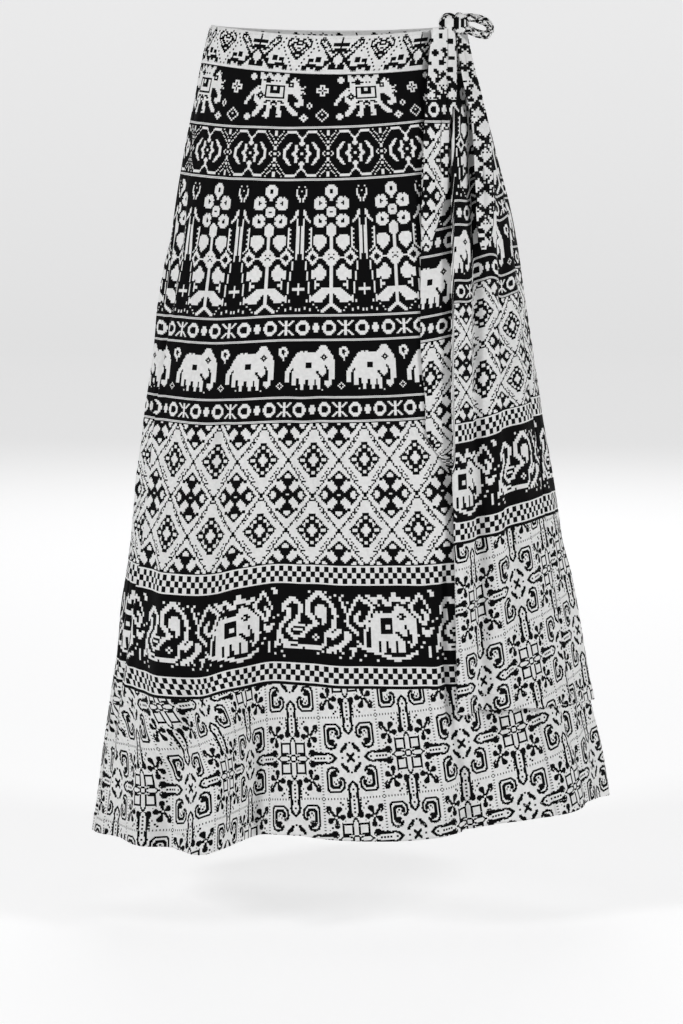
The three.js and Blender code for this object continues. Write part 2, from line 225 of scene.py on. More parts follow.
OUTER_EDGES = np.array([
    # z, loose, fold, seam
    (20, 103, 127, 90),
    (-36, 100, 129, 88),
    (-150, 95, 129, 81),
    (-230, 94, 129, 77),
    (-345, 94, 129, 74),
    (-400, 99, 129, 72),
    (-445, 102, 130, 71.5),
    (-485, 126, 130, 71),
    (-520, 136, 131, 70),
    (-605, 138, 133, 68.5),
    (-700, 139, 135, 67),
    (-800, 141, 137, 66),
], float)[::-1]

PLEATS = [
    # place, width, high, low
    (6, 15, 9, 7),
    (33, 7, -5, -4),
    (56, 14, 7, 3),
    (74, 9, -2, -2),
    (98, 16, 3, 4),
]
PLEAT_BASE = 9.6
STRIP_LIFT = 3.2
STRIP_BEHIND = 10
TURN = 1.5
FOLD_ROLL = 3  # how far the leading fold takes to roll over, mm


def smooth(x):
    x = np.clip(x, 0, 1)
    return x * x * (3 - 2 * x)


def bell(x):
    return np.exp(-x * x)


def read(table, column, place):
    """A table's column on a smooth curve through its rows, which are sorted by their first column."""
    at = table[:, 0]
    x = np.clip(place, at[0], at[-1])
    last = len(at) - 1
    i = np.clip(np.searchsorted(at, x, side="left") - 1, 0, last - 1)
    values = table[:, column]
    before, after = np.maximum(np.arange(last + 1) - 1, 0), np.minimum(np.arange(last + 1) + 1, last)
    tangent = (values[after] - values[before]) / (at[after] - at[before])
    span = at[i + 1] - at[i]
    t = (x - at[i]) / span
    start = (1 + 2 * t) * (1 - t) ** 2 * values[i] + t * (1 - t) ** 2 * span * tangent[i]
    end = t * t * (3 - 2 * t) * values[i + 1] + t * t * (t - 1) * span * tangent[i + 1]
    return start + end


RIGHT, LEFT, FRONT, BACK = 1, 2, 3, 4
INNER, OUTER = 1, 2
LOOSE, FOLD, SEAM = 1, 2, 3


def turned(angle):
    return (angle + 180) % 360 - 180


def band_top(angle):
    facing = np.cos(np.radians(angle))
    return BAND_TOP - np.where(facing > 0, FRONT_DIP, BACK_DIP) * facing**2


def fold_out(angle, z):
    out = 0
    for middle, width, height, start in FOLDS:
        away = turned(angle - middle) / width
        out = out + height * bell(away) * smooth((start - z) / (start - HEM_LOW)) ** 1.3
    return out


def on_body(angle, z, lift):
    """Points of the cloth, from the inner layer's middle at an angle and height, moved out."""
    t = np.radians(angle)
    wide = np.where(np.sin(t) > 0, read(SECTIONS, LEFT, z), read(SECTIONS, RIGHT, z))
    deep = np.where(np.cos(t) > 0, read(SECTIONS, FRONT, z), read(SECTIONS, BACK, z))
    nx, ny = np.sin(t) / wide, -np.cos(t) / deep
    length = np.hypot(nx, ny)
    d = fold_out(angle, z) + lift
    return np.stack([wide * np.sin(t) + nx / length * d, -deep * np.cos(t) + ny / length * d, z + 0 * t], -1)


def angle_for(x, z, lift):
    wide, deep = read(SECTIONS, LEFT, z), read(SECTIONS, FRONT, z)
    t = np.arcsin(np.clip(x / wide, 0, 1))
    for _ in range(12):
        nx, ny = np.sin(t) / wide, -np.cos(t) / deep
        d = fold_out(np.degrees(t), z) + lift
        t = 0.5 * t + 0.5 * np.arcsin(np.clip((x - nx / np.hypot(nx, ny) * d) / wide, 0, 1))
    return np.degrees(t)


def back_lift(angle):
    return OVER_LIFT * (1 - smooth((angle - UNDERLAP_END - 3) / 22))


def pleat_lift(behind, z):
    down = np.clip((-60 - z) / 640, 0, 1)
    settled = smooth((band_top(60) - BAND_HEIGHT - z) / 110)
    out = 0
    for place, width, high, low in PLEATS:
        out = out + (high + (low - high) * down) * bell((behind - place) / width) * settled
    return out


HALF_WAY = -400.0  # height from which places on the cloth are sought
TRIES = 6


def place_on(layer, start, end, along, down):
    z = np.full_like(along + down, HALF_WAY)
    for _ in range(TRIES):
        a, b = start(z), end(z)
        angle = a + (b - a) * along
        top = band_top(angle) - BAND_HEIGHT - SEAM_GAP
        z = top + (read(HEMS, layer, turned_hem(angle)) - top) * down
    return angle, z


def turned_hem(angle):
    return np.where(angle < -78, angle + 360, angle)


# ---------------------------------------------------------------- the cloth panels

CLOTH = 1.2
BAND_CLOTH = 2.2
SEAM_GAP = 0.3
HEM_FOLD = 20  # depth of the turned-up hem
SEAM_REACH = 5  # how far from a seam the cloth rolls into it

# Soft creases: angle and height of both ends, half-width in mm, and how far the cloth
# stands out (or falls in) along the middle.
CREASES = [
    # angle, z, to_angle, to_z, width, out
    (-24, -60, -33, -330, 10, 1.6),
    (-12, -70, -9, -300, 12, -1.8),
    (2, -60, 5, -380, 11, 1.5),
    (17, -60, 22, -330, 10, -2.0),
    (-17, -420, -6, -640, 11, -2.6),
    (-9, -430, 2, -700, 12, 2.2),
    (12, -380, 15, -640, 13, -2.0),
    (-52, -560, -48, -900, 16, 3.5),
    (-70, -160, -74, -520, 12, -2.2),
    (-71.5, -290, -72, -800, 5, -2.6),
    (-67, -290, -68, -800, 6, 1.8),
    (-84, -210, -87, -640, 14, 2.6),
    (26.5, -560, 27, -925, 5, -4.2),
    (22.5, -560, 22.5, -925, 6, 2.4),
    (-5, -330, -4, -560, 9, -2.6),
    (-10, -330, -9, -560, 9, 1.8),
    (-30, -330, -27, -560, 12, 2.2),
    (-36, -380, -34, -620, 10, -2.2),
    (-40, -60, -58, -250, 11, -1.6),
    (24, -420, 29, -760, 13, 2.4),
    (36, -300, 38, -700, 10, -2.2),
    (-38, -700, -41, -925, 9, -3.4),
    (-8, -800, -7, -925, 8, -2.6),
    (64, -640, 66, -900, 11, -3.0),
    (84, -560, 86, -905, 13, 3.0),
    (100, -330, 104, -900, 12, -3.2),
    (120, -60, 128, -360, 12, 2.4),
    (142, -70, 146, -420, 13, -2.6),
    (164, -60, 162, -300, 11, 2.2),
    (171, -330, 169, -760, 12, -2.8),
    (186, -60, 190, -420, 13, -2.2),
    (194, -440, 190, -860, 12, 2.8),
    (208, -70, 214, -360, 12, 2.2),
    (234, -60, 236, -460, 13, -2.4),
    (240, -520, 236, -900, 11, -3.0),
    (256, -90, 258, -520, 12, 2.2),
    (272, -300, 273, -880, 12, -2.6),
]
CREASE_DEPTH = 1.7
CREASE_BEGINS = 70  # how far below its upper end a crease is full, mm
CREASE_ENDS = 110
CREASE_SWAY = 1.4  # degrees either way
BODY_RADIUS = 190  # turns degrees into millimetres where creases are spread


def crease_out(angle, z):
    out = 0
    for start, top, end, foot, width, height in CREASES:
        along = np.clip((top - z) / (top - foot), 0, 1)
        ends = smooth((top - z) / CREASE_BEGINS) * smooth((z - foot) / CREASE_ENDS + 1)
        middle = start + (end - start) * along + CREASE_SWAY * np.sin(along * 7 + start)
        away = np.radians(turned(angle - middle)) * BODY_RADIUS / width
        out = out + CREASE_DEPTH * height * bell(away) * ends
    return out


# Small soft unevenness of washed cotton: wave number round the body, wave length
# down it in mm, turn, and depth.
RIPPLES = [
    (17, 260, 0.4, 0.55),
    (29, 170, 2.1, 0.35),
    (43, 120, 4.0, 0.25),
    (61, 75, 1.1, 0.16),
]


def ripple_out(angle, z):
    out = 0
    for number, length, start, depth in RIPPLES:
        swing = np.sin(z * 2 * np.pi / (length * 1.7) + start * 2)
        out = out + depth * np.sin(np.radians(angle) * number + z * 2 * np.pi / length + start + swing)
    return out


# Short gathers where the cloth is sewn to the waistband: angle, half-width in degrees,
# how far out, and length.
GATHERS = [
    (-68, 2.2, 1.6, 60),
    (-57, 1.8, -1.5, 45),
    (-44, 2.0, 1.4, 55),
    (-31, 1.6, -1.3, 50),
    (-19, 2.2, 1.5, 65),
    (-6, 1.7, -1.4, 45),
    (7, 2.0, 1.5, 55),
    (19, 1.6, -1.6, 60),
    (29, 2.0, 2.0, 75),
    (36, 1.6, -2.2, 60),
    (74, 2.0, 1.5, 55),
    (96, 2.0, -1.4, 60),
    (112, 2.2, 1.6, 70),
    (131, 1.8, -1.5, 50),
    (149, 2.0, 1.5, 65),
    (163, 1.7, -1.4, 55),
    (181, 2.2, 1.6, 60),
    (197, 1.8, -1.5, 70),
    (219, 2.0, 1.5, 55),
    (238, 1.8, -1.4, 60),
    (255, 2.1, 1.5, 65),
    (270, 1.8, -1.4, 50),
]


GATHER_STARTS = 8  # flat cloth under the band, mm


def gather_out(angle, below_band):
    out = 0
    for place, width, height, length in GATHERS:
        out = out + height * bell(turned(angle - place) / width) * bell(below_band / length)
    return out * smooth(below_band / GATHER_STARTS)


def outer_seam(z):
    return read(OUTER_EDGES, SEAM, z)


def fold_x(z):
    return read(OUTER_EDGES, FOLD, z)


def shy(z):
    return np.degrees(SEAM_GAP / 2 / read(SECTIONS, RIGHT, z))


SEAM_ROLL = 1.3  # how far the cloth falls in at a seam, mm
HEM_STANDS = 0.7  # how far the doubled hem stands out
PUCKERS = 97  # small puckers of the hem's stitching, all round
PUCKER_HEIGHT = 34
PUCKER_DEPTH = 0.25


def cloth_relief(angle, z, start, end, hem_above):
    """What the bare form lacks: creases, gathers, seams rolled in and the doubled hem."""
    top = band_top(angle) - BAND_HEIGHT
    below = top - z
    out = crease_out(angle, z) + ripple_out(angle, z) * smooth(below / 60)
    out = out + gather_out(angle, below)
    from_seam = np.minimum(angle - start, end - angle) * np.radians(1) * BODY_RADIUS
    calm = smooth(from_seam / (4 * SEAM_REACH))
    hemmed = smooth((HEM_FOLD + 1.5 - hem_above) / 2.5)
    puckers = PUCKER_DEPTH * np.sin(np.radians(angle) * PUCKERS + 0.6 * np.sin(angle))
    puckers = puckers * smooth(1 - hem_above / PUCKER_HEIGHT)
    return out * calm - SEAM_ROLL * (1 - smooth(from_seam / SEAM_REACH)) + HEM_STANDS * hemmed + puckers


def panel_grid(layer, start, end, columns, rows, lift):
    along, down = np.meshgrid(np.linspace(0, 1, columns + 1), np.linspace(0, 1, rows + 1))
    angle, z = place_on(layer, start, end, along, down)
    hem_above = z - read(HEMS, layer, turned_hem(angle))
    relief = cloth_relief(angle, z, start(z), end(z), hem_above)
    points = on_body(angle, z, lift(angle, z) + relief)
    plain = on_body(angle, z, lift(angle, z))
    return points, cloth_uvs(plain, angle, z)


def half_width(z):
    return 0.5 * (read(SECTIONS, LEFT, z) + read(SECTIONS, RIGHT, z))


def run_along(grid, axis):
    """How far each point of a grid lies from the first, along the cloth."""
    steps = np.linalg.norm(np.diff(grid, axis=axis), axis=2)
    return np.insert(np.cumsum(steps, axis=axis), 0, 0, axis=axis)


def cloth_uvs(grid, angle, z):
    """Across as a share of the body's half-width, from the middle of the front, and down in mm."""
    start = np.array([arc_from_middle(a, h) for a, h in zip(angle[:, 0], z[:, 0])])
    u = 100 * (run_along(grid, 1) + start[:, None]) / half_width(z)
    v = run_along(grid, 0)
    u = u - FOLD_TAKES * (angle < 0) * (1 - smooth((angle + 28) / 8)) * smooth((-700 - z) / 150)
    tucked = (angle < 0) * (1 - smooth((angle - TUCK_ANGLE) / 0.8)) * smooth((-270 - z) / 120)
    return np.stack([u - TUCK_TAKES * tucked, v - print_drop(angle, v)], -1)


HIGH_DROP = 90  # below the waistband in mm: where the high drop starts to give way
LOW_DROP = 430  # and where the middle one does


def print_drop(angle, below):
    """How far the print hangs lower than a straight one, by angle and by mm below the waistband."""
    place = turned(angle)
    high, middle, low = (read(PRINT_DROP, k, place) for k in (1, 2, 3))
    upper = high + (middle - high) * smooth((below - HIGH_DROP) / 200)
    return upper * smooth(below / 60) + (low - middle) * smooth((below - LOW_DROP) / 240)


# The print sags toward the wearer's right, where the cloth falls from a small tuck.
PRINT_DROP = np.array([
    # angle, high, middle, low
    (-180, 0, 0, 0),
    (-150, 0, 0, 0),
    (-100, 7, 23, 32),
    (-80, 7, 23, 32),
    (-62, 6, 19, 32),
    (-43, 4, 14, 28),
    (-33, 2, 9, 21),
    (-26, 1, 5.5, 8),
    (-18, 0, 2, -2),
    (-12, -1.2, 0.5, -4),
    (5, -3, -1, -1),
    (25, -4, 0.5, 5),
    (51, -4, 0.5, 5),
    (80, 0, 0, 0),
    (180, 0, 0, 0),
], float)
TUCK_ANGLE = -70
FOLD_TAKES = 20  # cloth turned on edge in the hem's deep fold, in hundredths of the half-width
TUCK_TAKES = 4  # cloth hidden in the tuck, in hundredths of the half-width


def arc_from_middle(angle, z):
    """Length round the body from the middle of the front to an angle, at one height."""
    steps = np.linspace(0, angle, 90)
    points = on_body(steps, np.full_like(steps, z), 0)
    return np.sign(angle) * np.linalg.norm(np.diff(points, axis=0), axis=1).sum()


# ---------------------------------------------------------------- the print's charts

# Each border of the print is charted on small square cells, as a weaver's border is.
# 1 is white and 0 black. Places are cells from the chart's left and top edge. A chart
# runs on round its sides. A mirrored chart holds half of its repeat.


WRAPPED = (42, 52, 66)  # widths of the charts that hold a whole repeat


def blank(rows, columns, ground=0):
    return np.full((rows, columns), ground)


def cells(chart, x):
    """How far each cell lies to the right of x, and how far down the chart."""
    rows, columns = chart.shape
    down, along = np.mgrid[0:rows, 0:columns] + 0.5
    if columns not in WRAPPED:
        return along - x, down
    return (along - x + columns / 2) % columns - columns / 2, down


def bar(chart, path, width=1.2, ink=1):
    """A stroke along a path of (x, y) places."""
    for (x0, y0), (x1, y1) in zip(path, path[1:]):
        along, down = cells(chart, (x0 + x1) / 2)
        px = along + (x0 + x1) / 2
        dx, dy = x1 - x0, y1 - y0
        t = np.clip(((px - x0) * dx + (down - y0) * dy) / max(dx * dx + dy * dy, 1e-9), 0, 1)
        chart[np.hypot(px - x0 - t * dx, down - y0 - t * dy) <= width / 2] = ink


def patch(chart, outline, ink=1):
    """A filled shape inside an outline of (x, y) places."""
    middle = sum(x for x, _ in outline) / len(outline)
    along, down = cells(chart, middle)
    px = along + middle
    inside = np.zeros(chart.shape, bool)
    for (x0, y0), (x1, y1) in zip(outline, outline[1:] + outline[:1]):
        crosses = (y0 > down) != (y1 > down)
        at = x0 + (down - y0) * (x1 - x0) / (y1 - y0 if y1 != y0 else 1e-9)
        inside ^= crosses & (px < at)
    chart[inside] = ink


def gem(chart, x, y, wide, high=None, ink=1):
    along, down = cells(chart, x)
    chart[abs(along) / wide + abs(down - y) / (high or wide) <= 1] = ink


def oval(chart, x, y, wide, high=None, ink=1):
    along, down = cells(chart, x)
    chart[(along / wide) ** 2 + ((down - y) / (high or wide)) ** 2 <= 1] = ink


def block(chart, left, top, right, bottom, ink=1):
    along, down = cells(chart, (left + right) / 2)
    chart[(abs(along) < (right - left) / 2) & (down > top) & (down < bottom)] = ink


def blocks(chart, *boxes, ink=1):
    for box in boxes:
        block(chart, *box, ink)


def bars(chart, *strokes, ink=1):
    for width, *path in strokes:
        bar(chart, path, width, ink)


def dots(chart, places, ink=1):
    for x, y in places:
        block(chart, int(x), int(y), int(x) + 1, int(y) + 1, ink)


def dotted(chart, x0, y0, x1, y1, every=2, ink=1):
    count = int(max(abs(x1 - x0), abs(y1 - y0)) / every)
    steps = [i / max(count, 1) for i in range(count + 1)]
    dots(chart, [(x0 + (x1 - x0) * t, y0 + (y1 - y0) * t) for t in steps], ink)


def parade_chart():
    """Elephants in blankets, with rosettes between."""
    c = blank(31, 52)
    patch(c, [(15.5, 0), (34.5, 0), (33, 3), (31.5, 5), (32, 8), (17, 8), (17.5, 5), (16, 3)])
    for left in (18, 23, 28):
        block(c, left, 0, left + 3, 1, 0)
        block(c, left + 1, 1, left + 2, 2, 0)
    for left in (18, 20, 22, 24, 26, 28):
        block(c, left + 0.2, 4, left + 1.3, 5, 0)
    gem(c, 21.5, 4.5, 2, ink=0)
    # body, haunch, head and trunk
    patch(c, [(17, 6), (33, 6), (35.5, 4), (37.5, 2.5), (39.5, 4.5), (41, 8.5), (41, 11.5), (43, 16.5),
              (42.5, 19), (40, 20), (38, 19), (38, 17), (40.5, 17.5), (40, 15), (36, 12), (34.5, 11.5),
              (34.5, 17), (35, 19), (17.5, 19.5), (14.5, 16.5), (14.5, 12), (17.5, 9.5)])
    blocks(c, (37, 2, 38, 4), (39, 3, 40, 4))
    dots(c, [(41, 8), (42, 8), (43, 7), (41, 10), (42, 10), (43, 11), (41, 11)])
    for hip, foot in (((19, 19), (15, 25)), ((23.5, 19), (22.5, 25.5)), ((28.5, 19), (30, 25)),
                      ((33, 18), (38.5, 24))):
        bar(c, [hip, foot], 2.6)
    for x, y in ((21.5, 25.5), (29.5, 25.5)):
        block(c, x - 1.5, y - 1, x + 2, y + 0.6)
    bar(c, [(16, 8.5), (12.5, 12.5), (8.5, 18.5)], 1.9)
    # blanket, eye and leaves
    block(c, 20, 7, 32, 15, 0)
    block(c, 21, 8, 31, 14, 1)
    block(c, 22.5, 8, 29.5, 12.5, 0)
    block(c, 25, 8, 27, 10.5, 1)
    block(c, 34, 5, 37, 8, 0)
    dots(c, [(35, 6)])
    gem(c, 17.5, 13.5, 2.2, ink=0)
    dots(c, [(17, 13)])
    bars(c, (1.5, (20.5, 17.5), (23, 16.3)), (1.4, (24.3, 18.2), (26, 16.3), (27.7, 18.2)),
            (1.5, (29, 16.3), (31.5, 17.5)), ink=0)
    # rosettes and rings between the elephants
    for x, y, wide, high in ((1.5, 9.5, 4, 2), (1.5, 9.5, 2, 4)):
        block(c, x - wide, y - high, x + wide, y + high)
    for x, y in ((0.5, 9.5), (2.5, 9.5), (1.5, 8.5), (1.5, 10.5), (-0.4, 9.5), (3.4, 9.5), (1.5, 7.4),
                 (1.5, 11.6)):
        block(c, x - 0.6, y - 0.6, x + 0.6, y + 0.6, 0)
    dots(c, [(1, 9)])
    gem(c, 1.5, 25, 4)
    gem(c, 1.5, 25, 2.6, ink=0)
    dots(c, [(1, 24)])
    for x, y in ((46.5, 19), (43.5, 26.5), (11, 26), (12, 3)):
        gem(c, x, y, 2)
        gem(c, x, y, 0.9, ink=0)
    return c


def hexagon_chart():
    """Half of a repeat: solid zigzag at the left edge, dotted zigzag at the right."""
    c = blank(38, 19)
    block(c, 4, 1, 11, 3)
    bar(c, [(4.2, 2.4), (0.4, 7.6)], 1.3)
    block(c, 0, 7, 1, 9)
    gem(c, 0, 11, 2.2, 2.8)
    bar(c, [(4.2, 12.6), (3.6, 16), (5.6, 19), (5.6, 19.4)], 2)
    blocks(c, (2, 14.6, 4, 16.4), (6, 18, 7, 20))
    bar(c, [(8.4, 10.8), (12.2, 17), (12.2, 19.4)], 2.1)
    dots(c, [(0, 18)])
    for k in range(7):
        dots(c, [(11 + k, 3 + round(1.45 * k))])
        dots(c, [(min(13 + k, 18), 1 + round(1.5 * k))])
    bar(c, [(18.7, 1), (18.7, 4.2)], 1)
    block(c, 17.8, 12.8, 19, 16.2)
    dots(c, [(16, 17), (15, 18), (18, 18)])
    c[19:] = c[18::-1]
    return c


def tree_chart():
    """Half of a repeat: flowering tree at the left edge, staffs at the right."""
    c = blank(90, 20)

    def flower(x, y, wide, high):
        oval(c, x, y, wide, high)
        for side in (-1, 1):
            dots(c, [(x + side * wide, y), (x, y + side * high)], 0)
        oval(c, x, y, 1.1, 1.2, 0)

    oval(c, 0, 6.5, 4.2, 4.6)
    block(c, 0, 10, 1, 13)
    oval(c, 0, 6.5, 1.1, 1.3, 0)
    flower(7.3, 14.6, 4.2, 4.6)
    flower(7.2, 26.6, 4.2, 4.6)
    oval(c, 0, 20.5, 3.2, 3.6)
    block(c, 2.5, 20, 4, 21, 0)
    oval(c, 0, 20.5, 1, 1.1, 0)
    oval(c, 0, 33, 3.1, 5)
    block(c, 0, 37, 1, 46)
    patch(c, [(5, 36), (9.4, 36), (11, 38), (11, 42), (7.2, 47.5), (3.4, 42), (3.4, 38)])
    gem(c, 0, 51.3, 5.8, 7.5)
    dots(c, [(1, 49), (1, 52), (0, 50), (0, 51)], 0)
    dots(c, [(0, 50)])
    gem(c, 11.4, 51.3, 4.4, 6)
    gem(c, 11.4, 51.3, 2.2, 2.6, 0)
    block(c, 6, 51, 7.2, 52)
    patch(c, [(6.8, 55.5), (10.4, 60.5), (10.4, 63.5), (8.6, 67), (5, 67), (3.2, 63.5), (3.2, 60.5)])
    block(c, 0, 58, 1, 84)
    patch(c, [(0, 73.5), (1.8, 72), (5.5, 72), (13, 79.5), (9.5, 82), (5.8, 82), (1.8, 76), (0, 76)])
    bar(c, [(0, 83), (5.3, 88.3)], 1.7)
    # the staffs and what hangs by them
    dots(c, [(17, 3), (19, 6), (10, 83), (8, 85), (7, 87)])
    bars(c, (1.3, (16.5, 6), (16.7, 8.5), (18.4, 13)), (1.6, (17.4, 19.5), (17, 22.5), (13.5, 27.5)))
    blocks(c, (17, 25, 18, 53), (18, 30, 19, 49), (12, 31, 13, 45))
    for y in range(32, 46, 3):
        dots(c, [(13, y)])
    dots(c, [(13, 45), (14, 46), (15, 47)])
    blocks(c, (15, 54, 16, 60), (14, 61, 15, 67), (13, 68, 14, 76), (12, 77, 13, 82))
    patch(c, [(12.2, 59.5), (12.2, 66.5), (10, 65.5), (9, 63), (10, 60.5)])
    blocks(c, (9, 67, 10, 73), (7, 69, 9, 71), (19, 69, 20, 77), (16, 72, 20, 74), (14, 80, 15, 82))
    for x, y in ((15, 85), (12, 86), (18, 86)):
        block(c, x, y, x + 1, y + 2)
    return c


def star_chart():
    """Half of a repeat of the narrow border: star, ring, small cross."""
    c = blank(17, 22)
    for foot in (3.4, 13.6):
        bar(c, [(0.6, 8.5), (5, foot)], 1.35)
    blocks(c, (0, 2.6, 1, 14.4), (0, 7.4, 4.4, 9.6))
    block(c, 1.4, 7.4, 4.4, 9.6, 0)
    oval(c, 11.8, 8.5, 4.8, 5.4)
    oval(c, 11.8, 8.5, 2.6, 3, 0)
    blocks(c, (18.6, 7, 22, 10), (20.4, 5, 22, 12))
    return c


def grazing_chart():
    """Elephants walking, with a drop over and a ring between."""
    c = blank(37, 42)
    patch(c, [(8, 9), (9.5, 7.5), (21, 7.5), (24, 4), (25, 2.5), (29, 2.5), (31, 5.5), (33.5, 9), (35.5, 14),
              (35.5, 25), (33, 26.5), (32.5, 30), (30.5, 32), (28, 30), (27.5, 26), (30, 27.5), (31, 27),
              (31, 22), (29, 17), (28.5, 22), (27, 24), (24, 21.5), (22.5, 21.5), (25, 25), (26, 30), (6, 29),
              (6, 21), (7.2, 17), (5, 20), (4, 23), (3.5, 28), (1, 28), (1.5, 20), (5, 14)])
    blocks(c, (11, 6, 12.6, 8), (14, 6, 15.6, 8))
    for left, right, foot in ((6, 9, 30), (12, 14.5, 33), (18, 20.5, 33), (22.5, 25, 33)):
        block(c, left, 27, right, foot)
    for left, right, top in ((9.3, 11, 25), (14.7, 17.4, 25.5), (20.6, 22.2, 25.5)):
        block(c, left, top, right, 34, 0)
    bar(c, [(6.2, 19.5), (4.6, 21.5), (4.2, 28)], 1.2, 0)
    block(c, 15, 14, 19, 18, 0)
    gem(c, 27.4, 10.5, 2.4, 2.8, 0)
    dots(c, [(27, 10)])
    dots(c, [(35, 17), (35, 20), (35, 23)], 0)
    bars(c, (1.4, (28.6, 16.5), (30, 20), (30, 26)), (1.5, (23, 21), (25.6, 25), (26.3, 31)), ink=0)
    dots(c, [(9, 32), (26, 33)])
    oval(c, 41.2, 6.8, 3.4, 3.8)
    block(c, 40.7, 10, 41.7, 13.5)
    gem(c, 41.2, 6.8, 1.7, 2.4, 0)
    gem(c, 39.5, 30.5, 2.6)
    gem(c, 39.5, 30.5, 1.3, ink=0)
    return c


def lattice_chart():
    """Half of a repeat: ring flower at the left edge, cross of buds at the right."""
    c = blank(45, 16, 1)
    for y in range(45):
        away = abs((y + 22.5) % 45 - 22.5)
        dots(c, [(15.9 * (1 - away / 22.5) - k, y) for k in range(1 + (y % 4 == 1))], 0)
    for y in (0, 45):
        gem(c, 0, y, 10, 12.6, 0)
        gem(c, 0, y, 3.2, 4.4, 1)
        for x, down, wide, high in ((0, 7.8, 1, 1.5), (2.8, 5.8, 1, 1.3), (4.8, 3.4, 1, 1.2),
                                    (6.5, 0, 1.1, 1.4)):
            oval(c, x, y + down, wide, high)
            oval(c, x, y - down, wide, high)
        dots(c, [(0, y + 11), (0, y - 12), (9, y)])
        for down in (10.5, 7.2, 4):
            gem(c, 9.6 * (1 - down / 12.8) + 1.4, y + down, 0.8, 1.1)
            gem(c, 9.6 * (1 - down / 12.8) + 1.4, y - down, 0.8, 1.1)
    # paired dotted lines beside the lattice
    for y, side in ((0, 1), (45, -1)):
        for step in range(6):
            t = 0.3 + 0.08 * step
            dots(c, [(13.4 * t, y + side * 19 * (1 - t))], 0)
    # the cross of four buds
    middle = 22.5
    for side in (-1, 1):
        gem(c, 16, middle + side * 10.2, 5.4, 6, 0)
        gem(c, 16, middle + side * 11.2, 2.5, 2.8, 1)
        block(c, 15, middle + side * 9.4 - 1, 16, middle + side * 9.4 + 1, 0)
        block(c, 14.9, middle + min(side * 7, 0), 16, middle + max(side * 7, 0), 0)
    gem(c, 8.2, middle, 5, 6.6, 0)
    gem(c, 7.2, middle, 2.4, 3.2, 1)
    block(c, 8.9, middle - 1.1, 16, middle + 1.1, 0)
    gem(c, 16, middle, 4.4, 4.8, 0)
    for side in (-1, 1):
        oval(c, 12.8, middle + side * 3.4, 0.9, 1, 1)
        block(c, 9.4, middle + side * 9.5 - 1, 11, middle + side * 9.5 + 1, 0)
    dots(c, [(15, 22)])
    return c


